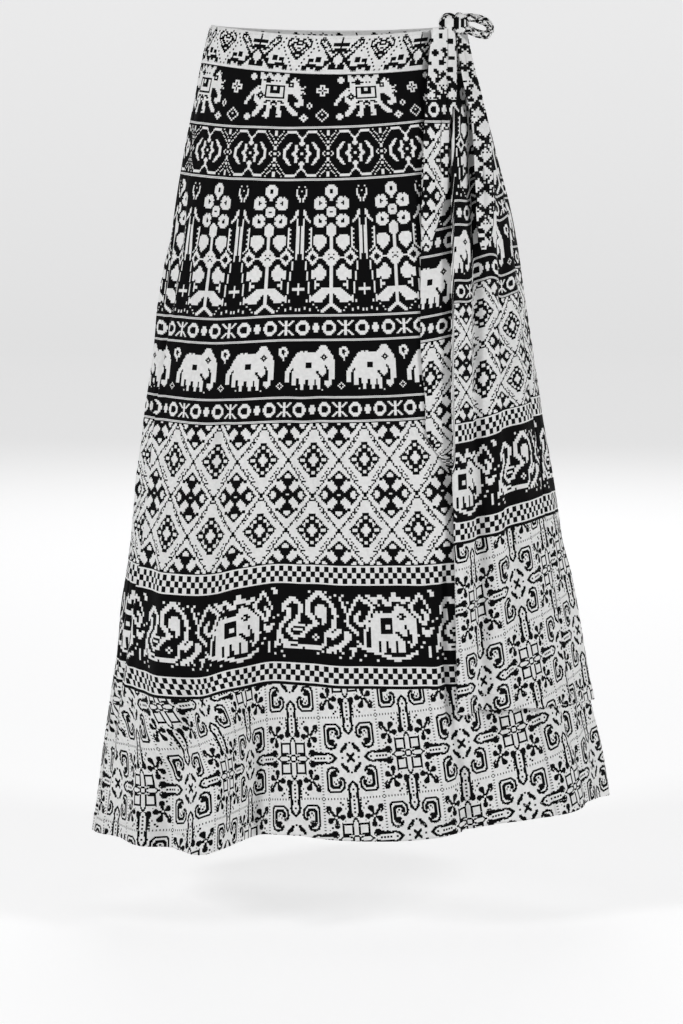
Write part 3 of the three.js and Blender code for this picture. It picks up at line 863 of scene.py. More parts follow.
def pond_chart():
    """Swans and elephants, with leaves, dots and a boat-shaped bank."""
    c = blank(32, 66)
    wide = 1.8
    # swan
    bar(c, [(17.2, 1.5), (12.8, 6), (12.6, 10.5), (16.8, 15.2), (13.5, 17.5), (11, 21), (7.6, 22), (5, 19.5),
            (5.6, 17.2), (8.5, 14.8), (9.7, 11), (9.6, 7), (6.5, 4.6), (3.2, 7.5), (2.6, 10)], wide)
    bars(c, (wide, (17.2, 1.5), (22.7, 6), (24.6, 11.5), (23.8, 16.6), (20.6, 20.8), (20.4, 24.5), (18, 26),
             (4, 26)), (wide, (4.9, 9.5), (5, 13), (2, 16.7), (1.2, 20), (3, 24), (8, 25)))
    block(c, 3, 24.5, 13, 27.5)
    block(c, 6, 25.4, 9.5, 26.4, 0)
    dots(c, [(11, 26)], 0)
    oval(c, 18.6, 10, 2.8, 3.3)
    bars(c, (1.8, (20.3, 11.5), (19.4, 15.6)), (1, (8.6, 16.9), (11.8, 16.9)),
            (1, (7.8, 18.4), (10.4, 18.8)))
    dots(c, [(16, 20), (15, 21), (17, 21), (16, 22)])
    bars(c, (1.9, (26.4, 17.5), (23.3, 20.7)), (2.2, (29, 18.5), (30, 20.8), (26.8, 24.3), (22.2, 26.9)))
    dots(c, [(28, 20), (24, 24), (26, 26)])
    # leaf, and the branch over the elephant
    bars(c, (1.3, (34.3, 2.5), (30.5, 9), (29, 14), (33.8, 19.4)),
            (1.5, (34.6, 3), (40, 7.6), (37, 14), (34.6, 15.4), (32.3, 13), (34.6, 9.6)),
            (1.1, (26.5, 4), (28.6, 9)), (1.8, (38, 2.4), (40.8, 5), (43, 2.5), (46.6, 6.6), (49, 1.8),
             (50, 4), (53.6, 5), (55.4, 3.6)))
    dots(c, [(42, 6)])
    # elephant
    patch(c, [(40.5, 10.2), (47, 10.2), (50.6, 6.2), (53.5, 8), (58, 13), (58.6, 20), (57, 24), (55.2, 25.5),
              (54, 22), (55.6, 23), (56.2, 20.5), (54, 15.6), (53.5, 20.5), (51, 20), (53.5, 25.5), (39, 25),
              (39, 18), (37.5, 18.5), (37.5, 24), (35.6, 24), (36, 17.5), (39, 13.5)])
    blocks(c, (41, 9, 42, 11), (43, 9, 44, 11))
    for left, right, foot in ((39, 41.6, 25.6), (43, 45, 27), (47, 49, 27), (50.4, 53, 26.6)):
        block(c, left, 22, right, foot)
    for left in (41.7, 45.2, 49.2):
        block(c, left, 21.8, left + 1.1, 28, 0)
    block(c, 43, 12, 48, 18.6, 0)
    block(c, 45, 14.5, 47, 16.8, 1)
    gem(c, 52, 11.4, 1.9, 2, 0)
    dots(c, [(51, 11)])
    bars(c, (1, (53.4, 15), (54.8, 19), (54.6, 22)), (1.1, (50, 18.5), (53, 21.8), (53.4, 25)),
            (1, (38.6, 16.5), (38.2, 23.5)), ink=0)
    # leaves beyond, bank and dots
    bars(c, (1.4, (59.8, 1.5), (57.6, 5.4), (55.6, 7.2), (60.8, 14.4), (62.6, 12), (60.6, 8.6)),
            (1.1, (59.8, 1.5), (63.6, 9)), (1.7, (60.4, 17), (62.2, 19.6), (64, 16.4)),
            (1.6, (34.2, 24.2), (38, 26), (42, 27.4), (46.3, 29.2), (49.5, 30), (53, 29.4), (57.6, 27)),
            (1.3, (31, 25.5), (31.4, 28), (33, 25)), (1.8, (62.6, 25), (62.4, 28)),
            (1.2, (66.6, 22), (65.6, 26), (67.4, 25.6)), (1.3, (64, 0.6), (65.6, 2.6)),
            (1.1, (65.8, 1), (64, 2.8)))
    for x, y in ((13, 1), (20, 1), (22, 3), (24, 2), (27, 2), (29, 5), (2, 28), (17, 28), (19, 27), (26, 29),
                 (30, 29), (34, 30), (36, 28), (41, 30), (33, 22), (27, 27), (0, 12), (64, 13), (59, 24),
                 (60, 22), (65, 29), (3, 30), (24, 27)):
        dots(c, [(x, y)])
    return c


def meadow_chart():
    """A quarter of a repeat on white: windowed flower at the top left, four hooks at the right."""
    c = blank(82, 58, 1)
    for flip in (0, 1):
        paint_dotted_blocks(c, flip)
    for flip in (0, 1):
        paint_flower(c, flip)
        paint_hook(c, flip)
    return c


def checks_chart():
    return np.array([[1, 0], [0, 1]])


BOLD = 0.6  # how much wider the lowest border's strokes print than they are drawn


def flipped(path, flip):
    return [(58 - x, 82 - y) if flip else (x, y) for x, y in path]


def spots(chart, places, flip, size=1):
    for x, y in flipped(places, flip):
        oval(chart, x, y, size, size, 0)


def paint_dotted_blocks(c, flip):
    spots(c, [(29, y + 0.5) for y in range(0, 42, 3)], flip, 0.9)
    spots(c, [(x + 0.5, 41) for x in range(0, 30, 3)], flip, 0.9)


def paint_flower(c, flip):
    def line(path, width=1.6, ink=0):
        bar(c, flipped(path, flip), width + BOLD * (ink == 0), ink)

    def shape(outline):
        patch(c, flipped(outline, flip), 0)

    # clear the dotted lines where the lances cross them
    line([(18, 0), (40, 0)], 8, 1)
    line([(0, 24), (0, 54)], 7, 1)
    # four windows about a middle
    line([(3, 4.6), (3, 14.4), (6, 15.6), (8.6, 14.6), (12.4, 15.8), (11.8, 10), (12.6, 4.8), (3, 4.6)], 1.1)
    line([(1.6, 3.4), (3, 1.4), (8, 3), (12.6, 2.8), (15.4, 0.4)], 0.9)
    line([(3, 15), (2.2, 17.6), (0.3, 21)], 1.1)
    spots(c, [(0, 3.2), (15.6, 0), (3, 0)], flip, 1.1)
    # lances
    shape([(0.8, 21.6), (7.4, 21.4), (8.2, 25.4), (6.4, 29), (5.6, 33), (3.2, 33), (2.6, 26.4)])
    line([(4.6, 31), (4.3, 37), (3.2, 44.5), (4.4, 50), (3.4, 54), (0.2, 58)], 1.9)
    spots(c, [(5.8, y) for y in (33, 36, 39)] + [(4.6, 44)], flip, 0.9)
    spots(c, [(0, y) for y in (27, 31, 35, 39, 43, 50)], flip, 0.8)
    shape([(15.8, 3.4), (17.2, 8.4), (20.6, 9.2), (24, 7), (27, 6.2), (27, 3.8), (20.4, 4)])
    line([(18.4, 2.6), (24, 4.6), (33, 4.2), (36.4, 5), (40, 3.4), (43.6, 0.2)], 1.9)
    spots(c, [(x, 0) for x in (23, 26, 29, 32, 38)], flip, 0.8)
    # sprig
    for x, y, size in ((12, 22.4, 2.5), (17.4, 14, 2.4), (23.4, 19, 2.3), (24.8, 31.4, 2.3),
                       (15.2, 30.4, 2.5)):
        line([(18.2, 22.2), (x, y)], 2.1)
        spots(c, [(x, y)], flip, size + 0.5)
    line([(24.8, 31.4), (26.8, 28.4), (24.6, 26.4)], 1.3)
    spots(c, [(18.2, 22.2)], flip, 2.3)
    oval(c, *flipped([(18.2, 22.2)], flip)[0], 1.1, 1.1, 1)
    spots(c, [(11, 35), (13, 37), (22, 12), (24.6, 9.6), (9.6, 18.4), (8.6, 31)], flip, 0.8)


def paint_hook(c, flip):
    def line(path, width=1.6, ink=0):
        bar(c, flipped([(58 + x, y) for x, y in path], flip), width + BOLD * (ink == 0), ink)

    def marks(places, size):
        spots(c, [(58 + x, y) for x, y in places], flip, size)

    line([(-3, 3.6), (0, 0)], 2.4)
    marks([(-8, 0), (0, 15)], 1.2)
    marks([(-13.4, 0), (0, 24)], 0.8)
    line([(-8.6, 6.4), (-6.6, 10)], 2.6)
    line([(-5.2, 9.6), (-3.4, 13.4)], 2.6)
    outer = [(-13.2, 13.6), (-14.8, 10.6), (-18.4, 9.2), (-22.4, 10.8), (-24.2, 15), (-24.2, 30.6),
             (-22.4, 33.8), (-12.2, 33.8), (-8.6, 31), (-7.6, 25), (-9, 20.6), (-11.6, 20.4)]
    line(outer, 1.8)
    for x, y in outer[4:9:2]:
        marks([(x, y)], 1.2)
    line([(-16.2, 13.8), (-19, 14.2), (-20.2, 17.4), (-20.2, 27.6), (-18.8, 29.4), (-13.6, 29.4),
          (-11.8, 27), (-11.8, 24)], 2.6)
    marks([(-16.8, 17)], 2.4)
    marks([(-12.4, 24.4)], 1.6)
    marks([(-17.4, 24), (-14.6, 22), (-16, 26)], 0.8)
    marks([(-22.4, y) for y in (18, 22, 26, 30)], 0.5)


def heart_chart():
    """Half of a repeat on white, for the waistband: heart at the left edge, crossed leaves at the right."""
    c = blank(66, 24, 1)
    bars(c, (1.2, (0.5, 3.6), (3.5, 1.6), (6.2, 3.6), (6.2, 6.6), (0.5, 13.2)),
            (1.7, (0.5, 5.6), (3, 4.2), (4, 6), (0.5, 10.4)), ink=0)
    dots(c, [(0, 7)], 0)
    dotted(c, 10, 6, 1, 19, 1.8, 0)
    dots(c, [(9, 4), (8, 2), (11, 8)], 0)
    for x, y in ((8.5, 14), (10.4, 17.4), (5.5, 18.5), (7.4, 16.8)):
        oval(c, x, y, 1.5, 1.4, 0)
    bars(c, (1.2, (12.5, 1.5), (11.5, 3.6), (17.4, 11)), (1.2, (12.5, 1.5), (14.6, 2.6), (20, 9.5)), ink=0)
    dots(c, [(13, 3), (15, 6), (17, 8)], 0)
    bars(c, (1.7, (17.4, 11), (23, 18.5)), (1.5, (23, 9.5), (15.5, 18.5)),
            (1.6, (23.5, 1.5), (23.5, 6)), ink=0)
    for x, y in ((21, 5), (22, 8), (19.4, 13.4), (20.6, 17.6), (17.2, 15), (12.4, 13.5), (13.6, 18.6)):
        oval(c, x, y, 1.7, 1.5, 0)
    # scattered spots, for the ties
    for x, y, size in ((3, 24, 1.1), (8.6, 26.4, 1.4), (14, 23.6, 1), (19.4, 26, 1.3), (4.4, 30.6, 1.3),
                       (12, 31.4, 1.1), (17.4, 33, 1.4), (22.6, 30, 1), (7.4, 36, 1), (1.6, 38, 1.3),
                       (13.4, 38.4, 1.3), (20.6, 39, 1.1), (8.6, 42.4, 1.3), (16.6, 43.4, 1)):
        oval(c, x, y, size * 1.5, size * 1.25, 0)
    bar(c, [(10.6, 33.6), (12.6, 36.4)], 1.6, 0)
    # a thick growth of leaves
    for x, y, lean in ((2, 47, 1), (8, 49, -1), (14, 46.6, 1), (20, 49, -1), (4.6, 54, -1), (11, 55.4, 1),
                       (17, 54, -1), (22.4, 56, 1), (1.6, 60, 1), (8, 61.6, -1), (14, 60.4, 1), (20, 62, -1)):
        bar(c, [(x - 1.6 * lean, y - 1.8), (x + 1.6 * lean, y + 1.8)], 2.9, 0)
        bar(c, [(x, y), (x + 2.6, y - 2.6)], 1.2, 0)
        dots(c, [(x, y)], 1)
    dotted(c, 0, 51, 24, 51, 2, 0)
    dotted(c, 1, 58, 24, 58, 2, 0)
    return c


# ---------------------------------------------------------------- printed cotton

# The borders of the print, down the cloth from the waistband seam: chart, its top in mm,
# its cell down in mm, its cell across in hundredths of the body's half-width, where its
# left edge lies, and the rows that show.
BORDERS = [
    # chart, top, down, across, left, first, last
    ("parade", 1.0, 1.87, 1.235, -76.0, 0, 31),
    ("hexagon", 63.4, 1.44, 0.895, -56.7, 0, 38),
    ("tree", 122.4, 1.64, 0.931, -39.8, 0, 90),
    ("star", 272.6, 1.52, 0.735, -27.4, 0, 17),
    ("grazing", 302.0, 1.61, 0.752, -27.8, 0, 37),
    ("star", 365.2, 1.50, 0.647, -26.8, 0, 17),
    ("lattice", 354.4, 1.787, 0.769, -36.3, 22, 112),
    ("checks", 557.5, 6.2, 2.05, 0.0, 0, 3),
    ("pond", 583.0, 2.60, 1.053, -96.6, 0, 32),
    ("checks", 671.0, 6.2, 2.05, 0.0, 0, 3),
    ("meadow", 582.9, 1.13, 0.400, 21.8, 60, 800),
]
# Where each border takes over from the one above, in the black between them.
BORDER_CHANGES = [0, 61.9, 120.3, 271.9, 300.4, 364.3, 391.4, 556.3, 580.2, 668.6, 693.2]
WAIST_TOP = 116.0  # where the waistband's print starts on its own cloth, in mm
WAIST_SHARE = 0.54  # a mm at the waist, in hundredths of the half-width
WAIST_BORDERS = [("heart", WAIST_TOP, 2.0, 2.0 * WAIST_SHARE, 0.0, 0, 1000)]
DOUBLE_LINES = [61.4, 119.9, 271.6, 299.2, 364.3, 391.3]
DOUBLE_REACH = 1.15  # from the middle of a double line to its edge, mm
DOUBLE_GAP = 0.2  # half of the black between its two lines
CHECK_LINES = [556.6, 577.0, 670.1, 690.5]
SINGLE_REACH = 0.85
MEADOW_TILT = 0.09  # the lowest border lies a little turned, rise for run
MM_PER_SHARE = 2.87  # hundredths of the half-width as mm, at the lowest border
PRINT_LENGTH = 956.25
RAMP_ENTRIES = 255
RAMP_STOPS = 32
RAMP_ROWS = 30
NO_CELLS = (0, 0, 0, 1)
CODE_BITS = 22

WHITE_COTTON = (0.80, 0.80, 0.795)
BLACK_INK = (0.0024, 0.0024, 0.0027)
REVERSE_BLACK = (0.17, 0.17, 0.175)  # the print seen through from the wrong side
SLUB_SCALE = 260
WASH_SCALE = 14
WEAVE_SCALE = 2.2  # threads to the mm
WEAVE_HEIGHT = 0.0004


class Wiring:
    """Adds and joins the nodes of one material."""

    def __init__(self, tree):
        self.tree = tree

    def node(self, kind, *inputs, **settings):
        made = self.tree.nodes.new(kind)
        for name, value in settings.items():
            setattr(made, name, value)
        for socket, value in zip(made.inputs, inputs):
            self.feed(socket, value)
        return made

    def feed(self, socket, value):
        if isinstance(value, bpy.types.NodeSocket):
            self.tree.links.new(value, socket)
        elif value is not None:
            socket.default_value = value

    def maths(self, operation, *inputs):
        return self.node("ShaderNodeMath", *inputs, operation=operation).outputs[0]

    def vectors(self, operation, *inputs):
        return self.node("ShaderNodeVectorMath", *inputs, operation=operation).outputs[0]

    def noise(self, scale, detail):
        made = self.node("ShaderNodeTexNoise", noise_dimensions="3D")
        body = self.node("ShaderNodeTexCoord").outputs["Object"]
        for name, value in (("Vector", body), ("Scale", scale), ("Detail", detail)):
            self.feed(made.inputs[name], value)
        return made.outputs[0]

    def mix(self, factor, first, second):
        made = self.node("ShaderNodeMix", data_type="RGBA")
        for name, value in (("Factor_Float", factor), ("A_Color", first), ("B_Color", second)):
            self.feed(next(s for s in made.inputs if s.identifier == name), value)
        return next(s for s in made.outputs if s.identifier == "Result_Color")

    def ramp(self, factor, places, colours):
        """Colours that change in steps along a factor from 0 to 1."""
        made = self.node("ShaderNodeValToRGB", factor)
        ramp = made.color_ramp
        ramp.interpolation = "CONSTANT"
        ramp.elements.remove(ramp.elements[1])
        for place in places[1:]:
            ramp.elements.new(place)
        for element, colour in zip(ramp.elements, colours):
            element.color = colour
        return made.outputs

    def steps(self, factor, places, fours):
        """Four values that change in steps along a factor from 0 to 1."""
        colour, fourth = self.ramp(factor, places, fours)
        return list(self.node("ShaderNodeSeparateColor", colour).outputs[:3]) + [fourth]


def row_codes(row):
    """A chart's row as three whole numbers, one bit a cell."""
    codes = [0, 0, 0]
    for place, ink in enumerate(row):
        codes[place // CODE_BITS] += int(ink) << (place % CODE_BITS)
    return codes


def chart_bit(wiring, rows, row, column):
    """The cell of the stacked charts at a row and column."""
    total = None
    places = [stop / RAMP_STOPS for stop in range(RAMP_STOPS)]
    for first in range(0, len(rows), RAMP_ROWS):
        colours = [NO_CELLS] + [(*codes, 1) for codes in rows[first:first + RAMP_ROWS]]
        colours += [NO_CELLS] * (RAMP_STOPS - len(colours))
        at = wiring.maths("DIVIDE", wiring.maths("ADD", row, 1.5 - first), RAMP_STOPS)
        held = wiring.ramp(at, places, colours)[0]
        total = held if total is None else wiring.vectors("ADD", total, held)
    third = wiring.maths("FLOOR", wiring.maths("DIVIDE", wiring.maths("ADD", column, 0.5), CODE_BITS))
    masks = [wiring.maths("COMPARE", third, k, 0.1) for k in range(3)]
    mask = wiring.node("ShaderNodeCombineXYZ", *masks).outputs[0]
    code = wiring.node("ShaderNodeVectorMath", total, mask, operation="DOT_PRODUCT").outputs[1]
    bit = wiring.maths("SUBTRACT", column, wiring.maths("MULTIPLY", third, CODE_BITS))
    shifted = wiring.maths("DIVIDE", wiring.maths("ADD", code, 0.5), wiring.maths("POWER", 2, bit))
    return wiring.maths("FLOORED_MODULO", wiring.maths("FLOOR", shifted), 2)


def print_ink(wiring, borders, changes):
    """1 where the cloth is left white and 0 where it is printed black."""
    names = sorted({border[0] for border in borders})
    charts = {name: CHARTS[name][0]() for name in names}
    rows, tops = [], {}
    for name in names:
        tops[name] = len(rows)
        rows += [row_codes(row) for row in charts[name]]
    cloth = wiring.node("ShaderNodeUVMap", uv_map="cloth").outputs[0]
    place = wiring.vectors("MULTIPLY", cloth, (1000, 1000, 0))
    split = wiring.node("ShaderNodeSeparateXYZ", place)
    across, down = split.outputs[0], split.outputs[1]
    along = wiring.maths("DIVIDE", down, PRINT_LENGTH)
    places = [max(0, change / PRINT_LENGTH - 0.5 / RAMP_ENTRIES) for change in changes]
    settings = {"fall": [], "run": [], "repeat": []}
    for name, top, cell_down, cell_across, left, first, last in borders:
        whole = CHARTS[name][1]
        mirrored = float(whole != charts[name].shape[1])
        settings["fall"].append((top, cell_down, first, last))
        settings["run"].append((cell_across, left % (whole * cell_across), whole, mirrored))
        quartered = name == "meadow"
        height = len(charts[name]) * (1 + quartered)
        settings["repeat"].append((tops[name], height, MEADOW_TILT * quartered, quartered))
    top, cell_down, first, last = wiring.steps(along, places, settings["fall"])
    cell_across, left, whole, mirrored = wiring.steps(along, places, settings["run"])
    row_top, height, tilt, quartered = wiring.steps(along, places, settings["repeat"])
    fallen = wiring.maths("SUBTRACT", down, top)
    run = wiring.maths("SUBTRACT", across, left)
    tilted_down = wiring.maths("MULTIPLY_ADD", wiring.maths("MULTIPLY", run, MM_PER_SHARE), tilt, fallen)
    aside = wiring.maths("MULTIPLY", wiring.maths("DIVIDE", fallen, MM_PER_SHARE), tilt)
    tilted_run = wiring.maths("SUBTRACT", run, aside)
    row = wiring.maths("FLOOR", wiring.maths("DIVIDE", tilted_down, cell_down))
    straight_row = wiring.maths("DIVIDE", fallen, cell_down)
    column = wiring.maths("FLOOR", wiring.maths("DIVIDE", tilted_run, cell_across))
    column = wiring.maths("FLOORED_MODULO", column, whole)
    column = mirror(wiring, column, whole, mirrored)
    row = mirror(wiring, wiring.maths("FLOORED_MODULO", row, height), height, quartered)
    chart_row = wiring.maths("ADD", row, row_top)
    ink = chart_bit(wiring, rows, chart_row, column)
    if len(borders) == 1:
        return ink, place
    begun = wiring.maths("GREATER_THAN", straight_row, first)
    unfinished = wiring.maths("LESS_THAN", straight_row, last)
    shown = wiring.maths("MULTIPLY", ink, wiring.maths("MULTIPLY", begun, unfinished))
    return wiring.maths("MAXIMUM", shown, border_lines(wiring, down)), place


def mirror(wiring, place, whole, mirrored):
    """Where mirrored is 1, the nearer of a cell and its mirror image."""
    back = wiring.maths("SUBTRACT", wiring.maths("SUBTRACT", whole, 1), place)
    nearer = wiring.maths("MINIMUM", place, back)
    return wiring.maths("MULTIPLY_ADD", wiring.maths("SUBTRACT", nearer, place), mirrored, place)


def nearest(wiring, down, lines):
    near = wiring.maths("ABSOLUTE", wiring.maths("SUBTRACT", down, lines[0]))
    for line in lines[1:]:
        near = wiring.maths("MINIMUM", near, wiring.maths("ABSOLUTE", wiring.maths("SUBTRACT", down, line)))
    return near


def border_lines(wiring, down):
    """White lines between the borders: double ones, and single ones along the checks."""
    away = nearest(wiring, down, DOUBLE_LINES)
    outside = wiring.maths("GREATER_THAN", away, DOUBLE_GAP)
    double = wiring.maths("MULTIPLY", wiring.maths("LESS_THAN", away, DOUBLE_REACH), outside)
    single = wiring.maths("LESS_THAN", nearest(wiring, down, CHECK_LINES), SINGLE_REACH)
    return wiring.maths("MAXIMUM", double, single)


def cotton(name, borders, changes, black):
    """Plain-woven cotton with its print, matt, a little uneven and finely woven."""
    made, shader = new_material(
        name, Roughness=0.86, Specular_IOR_Level=0.07, Sheen_Weight=0.01, Sheen_Roughness=0.5)
    wiring = Wiring(made.node_tree)
    ink, place = print_ink(wiring, borders, changes)
    slub = wiring.noise(SLUB_SCALE, 3)
    speckle = wiring.maths("MULTIPLY_ADD", slub, 0.32, 0.82)
    washed = wiring.maths("MULTIPLY_ADD", wiring.noise(WASH_SCALE, 2), 0.06, 0.97)
    tone = wiring.maths("MULTIPLY", speckle, washed)
    colour = wiring.mix(ink, (*black, 1), (*WHITE_COTTON, 1))
    colour = wiring.vectors("SCALE", colour)
    wiring.feed(colour.node.inputs["Scale"], tone)
    wiring.feed(shader.inputs["Base Color"], colour)
    threads = wiring.node("ShaderNodeTexChecker", wiring.vectors("MULTIPLY", place, (2.6, 1, 1)))
    wiring.feed(threads.inputs["Scale"], WEAVE_SCALE)
    relief = wiring.maths("ADD", wiring.maths("MULTIPLY", threads.outputs[1], 0.5), slub)
    bump = wiring.node("ShaderNodeBump")
    wiring.feed(bump.inputs["Height"], relief)
    wiring.feed(bump.inputs["Strength"], 0.22)
    wiring.feed(bump.inputs["Distance"], WEAVE_HEIGHT)
    wiring.feed(shader.inputs["Normal"], bump.outputs[0])
    return made


CHARTS = {
    # name: chart, cells in its whole repeat
    "parade": (parade_chart, 52),
    "hexagon": (hexagon_chart, 38),
    "tree": (tree_chart, 39),
    "star": (star_chart, 43),
    "grazing": (grazing_chart, 42),
    "lattice": (lattice_chart, 32),
    "pond": (pond_chart, 66),
    "meadow": (meadow_chart, 116),
    "heart": (heart_chart, 47),
    "checks": (checks_chart, 2),
}


# ---------------------------------------------------------------- pieces

def add_mesh(name, points, faces, uvs, materials):
    mesh = bpy.data.meshes.new(name)
    mesh.from_pydata((np.asarray(points) * MM).tolist(), [], faces)
    layer = mesh.uv_layers.new(name="cloth")
    corner = np.empty(len(mesh.loops), int)
    mesh.loops.foreach_get("vertex_index", corner)
    layer.data.foreach_set("uv", (np.asarray(uvs)[corner] * MM).astype(np.float32).ravel())
    mesh.polygons.foreach_set("use_smooth", [True] * len(mesh.polygons))
    for material in materials:
        mesh.materials.append(material)
    mesh.update()
    return add_object(name, mesh)


def cloth_sheet(name, grid, uvs, thickness, materials):
    """A shell of cloth about a grid of points, rows from the top, facing outwards."""
    rows, columns = grid.shape[:2]
    index = np.arange(rows * columns).reshape(rows, columns)
    quads = np.stack([index[:-1, :-1], index[1:, :-1], index[1:, 1:], index[:-1, 1:]], -1).reshape(-1, 4)
    sheet = add_mesh(name, grid.reshape(-1, 3), quads.tolist(), uvs.reshape(-1, 2), materials)
    wall = sheet.modifiers.new("wall", "SOLIDIFY")
    wall.thickness = thickness * MM
    wall.offset = 0
    wall.use_quality_normals = True
    wall.material_offset = 1 if len(materials) > 1 else 0
    return sheet


def soften(piece, width, segments):
    """Rounds the cut edges of folded cotton."""
    edges = piece.modifiers.new("soften", "BEVEL")
    edges.width = width * MM
    edges.segments = segments
    edges.limit_method = "ANGLE"
    edges.angle_limit = math.radians(60)


def finish_piece(piece, node):
    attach(piece, "root")
    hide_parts(node)


def overlap_section(z):
    """Places across and lifts of the folded leading edge, from the loose edge to the fold."""
    loose, fold = read(OUTER_EDGES, LOOSE, z), fold_x(z)
    behind = fold + STRIP_BEHIND
    middle = STRIP_LIFT + 2 * TURN
    crest = crest_lift(z)
    section = [(loose + (behind - loose) * k, STRIP_LIFT + 0 * z) for k in np.linspace(0, 1, 22)]
    for a in np.linspace(-90, 90, 9)[1:-1]:
        across, up = np.cos(np.radians(a)), np.sin(np.radians(a))
        section.append((behind + TURN * across, STRIP_LIFT + TURN + TURN * up + 0 * z))
    section += [(behind + (fold + 5 - behind) * k, middle + 0 * z) for k in np.linspace(0, 1, 4)]
    roll = (crest - middle) / 2
    for turn in np.linspace(-0.5, 0.22, 12):
        a = turn * np.pi
        section.append((fold + FOLD_ROLL - FOLD_ROLL * np.cos(a), middle + roll + roll * np.sin(a)))
    return section


def crest_lift(z):
    return PLEAT_BASE + pleat_lift(2, z)


def reach(start, end, z):
    t = np.radians((start + end) / 2)
    wide = read(SECTIONS, LEFT, z) * np.cos(t)
    deep = read(SECTIONS, FRONT, z) * np.sin(t)
    return np.hypot(wide, deep) * np.radians(end - start)


def fold_start(z):
    return angle_for(fold_x(z) + FOLD_ROLL, z, crest_lift(z))


def overlap_end(z):
    return outer_seam(z) - shy(z)


# How much further down its print the overlap is than the front, by mm below the
# waistband: on its folded strip, and on its pleats.
PRINT_SHIFT = np.array([
    # below, strip, pleats
    (0, 84, 112),
    (150, 86, 114),
    (240, 84, 116),
    (270, 82, 119),
    (400, 84, 144),
    (440, 92, 145),
    (470, 146, 146),
    (540, 147, 147),
    (760, 149, 149),
], float)
# How the print climbs from pleat to pleat, by mm behind the leading fold: near the
# waist and below.
PRINT_CLIMB = np.array([
    # behind, high, low
    (0, 0, 0),
    (29, 3, 2),
    (34, 24, 4),
    (62, 22, 8),
    (66, 1, 10),
    (96, 3, 12),
    (140, 4, 14),
], float)


OVERLAP_ROWS, OVERLAP_COLUMNS = 250, 118


def overlap_grid():
    down = np.linspace(0, 1, OVERLAP_ROWS + 1)
    top = band_top(60) - BAND_HEIGHT
    guess = top + (HEM_RAISED - top) * down
    parts = []
    for x, lift in overlap_section(guess):
        z = np.full_like(down, HALF_WAY)
        for _ in range(TRIES):
            angle = angle_for(x + fold_x(z) - fold_x(guess), z, lift)
            start = band_top(angle) - BAND_HEIGHT
            z = start + (read(HEMS, OUTER, turned_hem(angle)) - start) * down
        parts.append((angle, z, lift + 0 * z))
    strip = [np.stack([part[k] for part in parts], 1) for k in range(3)]
    along, below = np.meshgrid(np.linspace(0, 1, OVERLAP_COLUMNS + 1), down)
    angle, z = place_on(OUTER, fold_start, overlap_end, along, below)
    behind = 2 + reach(fold_start(z), angle, z)
    base = PLEAT_BASE + (OVER_LIFT - PLEAT_BASE) * smooth(along)
    pleats = base + pleat_lift(behind, z) * (1 - smooth((along - 0.8) / 0.2))
    hem_above = z - read(HEMS, OUTER, turned_hem(angle))
    relief = cloth_relief(angle, z, start=angle - 90, end=overlap_end(z), hem_above=hem_above)
    relief = relief + pleat_relief(behind, z)
    relief = relief * smooth(behind / 9)
    points = np.concatenate([on_body(*strip), on_body(angle, z, pleats + relief)], 1)
    plain = np.concatenate([on_body(*strip), on_body(angle, z, pleats)], 1)
    return points, overlap_uvs(plain, behind, z, len(parts))


def pleat_relief(behind, z):
    """The sharper edges of the pleats near the waist."""
    high = 1 - smooth((-330 - z) / 190)
    edge = smooth((behind - 28) / 2.5) * (1 - smooth((behind - 32) / 9))
    return high * (-2.5 * edge + 1.8 * bell((behind - 42) / 5) - 2.2 * bell((behind - 67) / 3.5))


def overlap_uvs(plain, behind, z, strip_columns):
    u = run_along(plain, 1)
    u = u - u[:, strip_columns][:, None]
    v = run_along(plain, 0)
    shift = read(PRINT_SHIFT, 2, v)
    shift[:, :strip_columns] = read(PRINT_SHIFT, 1, v[:, :strip_columns])
    low = smooth((-330 - z) / 110)
    climb = read(PRINT_CLIMB, 1, behind) * (1 - low) + read(PRINT_CLIMB, 2, behind) * low
    shift[:, strip_columns:] += climb
    return np.stack([100 * u / half_width(plain[..., 2]) + OVERLAP_START, v + shift], -1)


OVERLAP_START = 17.0  # where the leading fold lies across the print


PRINT_RAISED = 1.03  # how much the print rises with the hem
RAISED_AT_WAIST = 0.77  # the share of that rise at the waistband


def back_print_shift(grid, below):
    """The outer end is worn higher, and its print with it."""
    angle = np.degrees(np.arctan2(grid[-1, :, 0], -grid[-1, :, 1])) % 360
    raised = PRINT_RAISED * (read(HEMS, OUTER, angle) - HEMS[-1, OUTER])
    return raised * (RAISED_AT_WAIST + (1 - RAISED_AT_WAIST) * smooth(below / 400))


# Panels that lie plainly: layer, the edges they run between, columns and rows of their
# grid, and how far they lie over the inner layer.
PANELS = {
    "front_cloth": (
        INNER, lambda z: RIGHT_SEAM - 360 + shy(z), lambda z: INNER_SEAM - shy(z), 176, 200, lambda a, z: 0),
    "underlap_cloth": (
        INNER, lambda z: INNER_SEAM + shy(z), lambda z: UNDERLAP_END + 0 * z, 84, 160, lambda a, z: 0),
    "back_cloth": (
        OUTER, lambda z: outer_seam(z) + shy(z), lambda z: RIGHT_SEAM - shy(z), 200, 200,
        lambda a, z: back_lift(a)),
}


def add_panels(finish):
    pieces = {name: panel_grid(*how) for name, how in PANELS.items()}
    back, back_uvs = pieces["back_cloth"]
    back_uvs[..., 1] += back_print_shift(back, back_uvs[..., 1])
    pieces["overlap_cloth"] = overlap_grid()
    made = {}
    for name, (grid, uvs) in pieces.items():
        made[name] = cloth_sheet(name, grid, uvs, CLOTH, finish)
        finish_piece(made[name], name.replace("_cloth", "_panel"))
    return made, {name: grid for name, (grid, _) in pieces.items()}


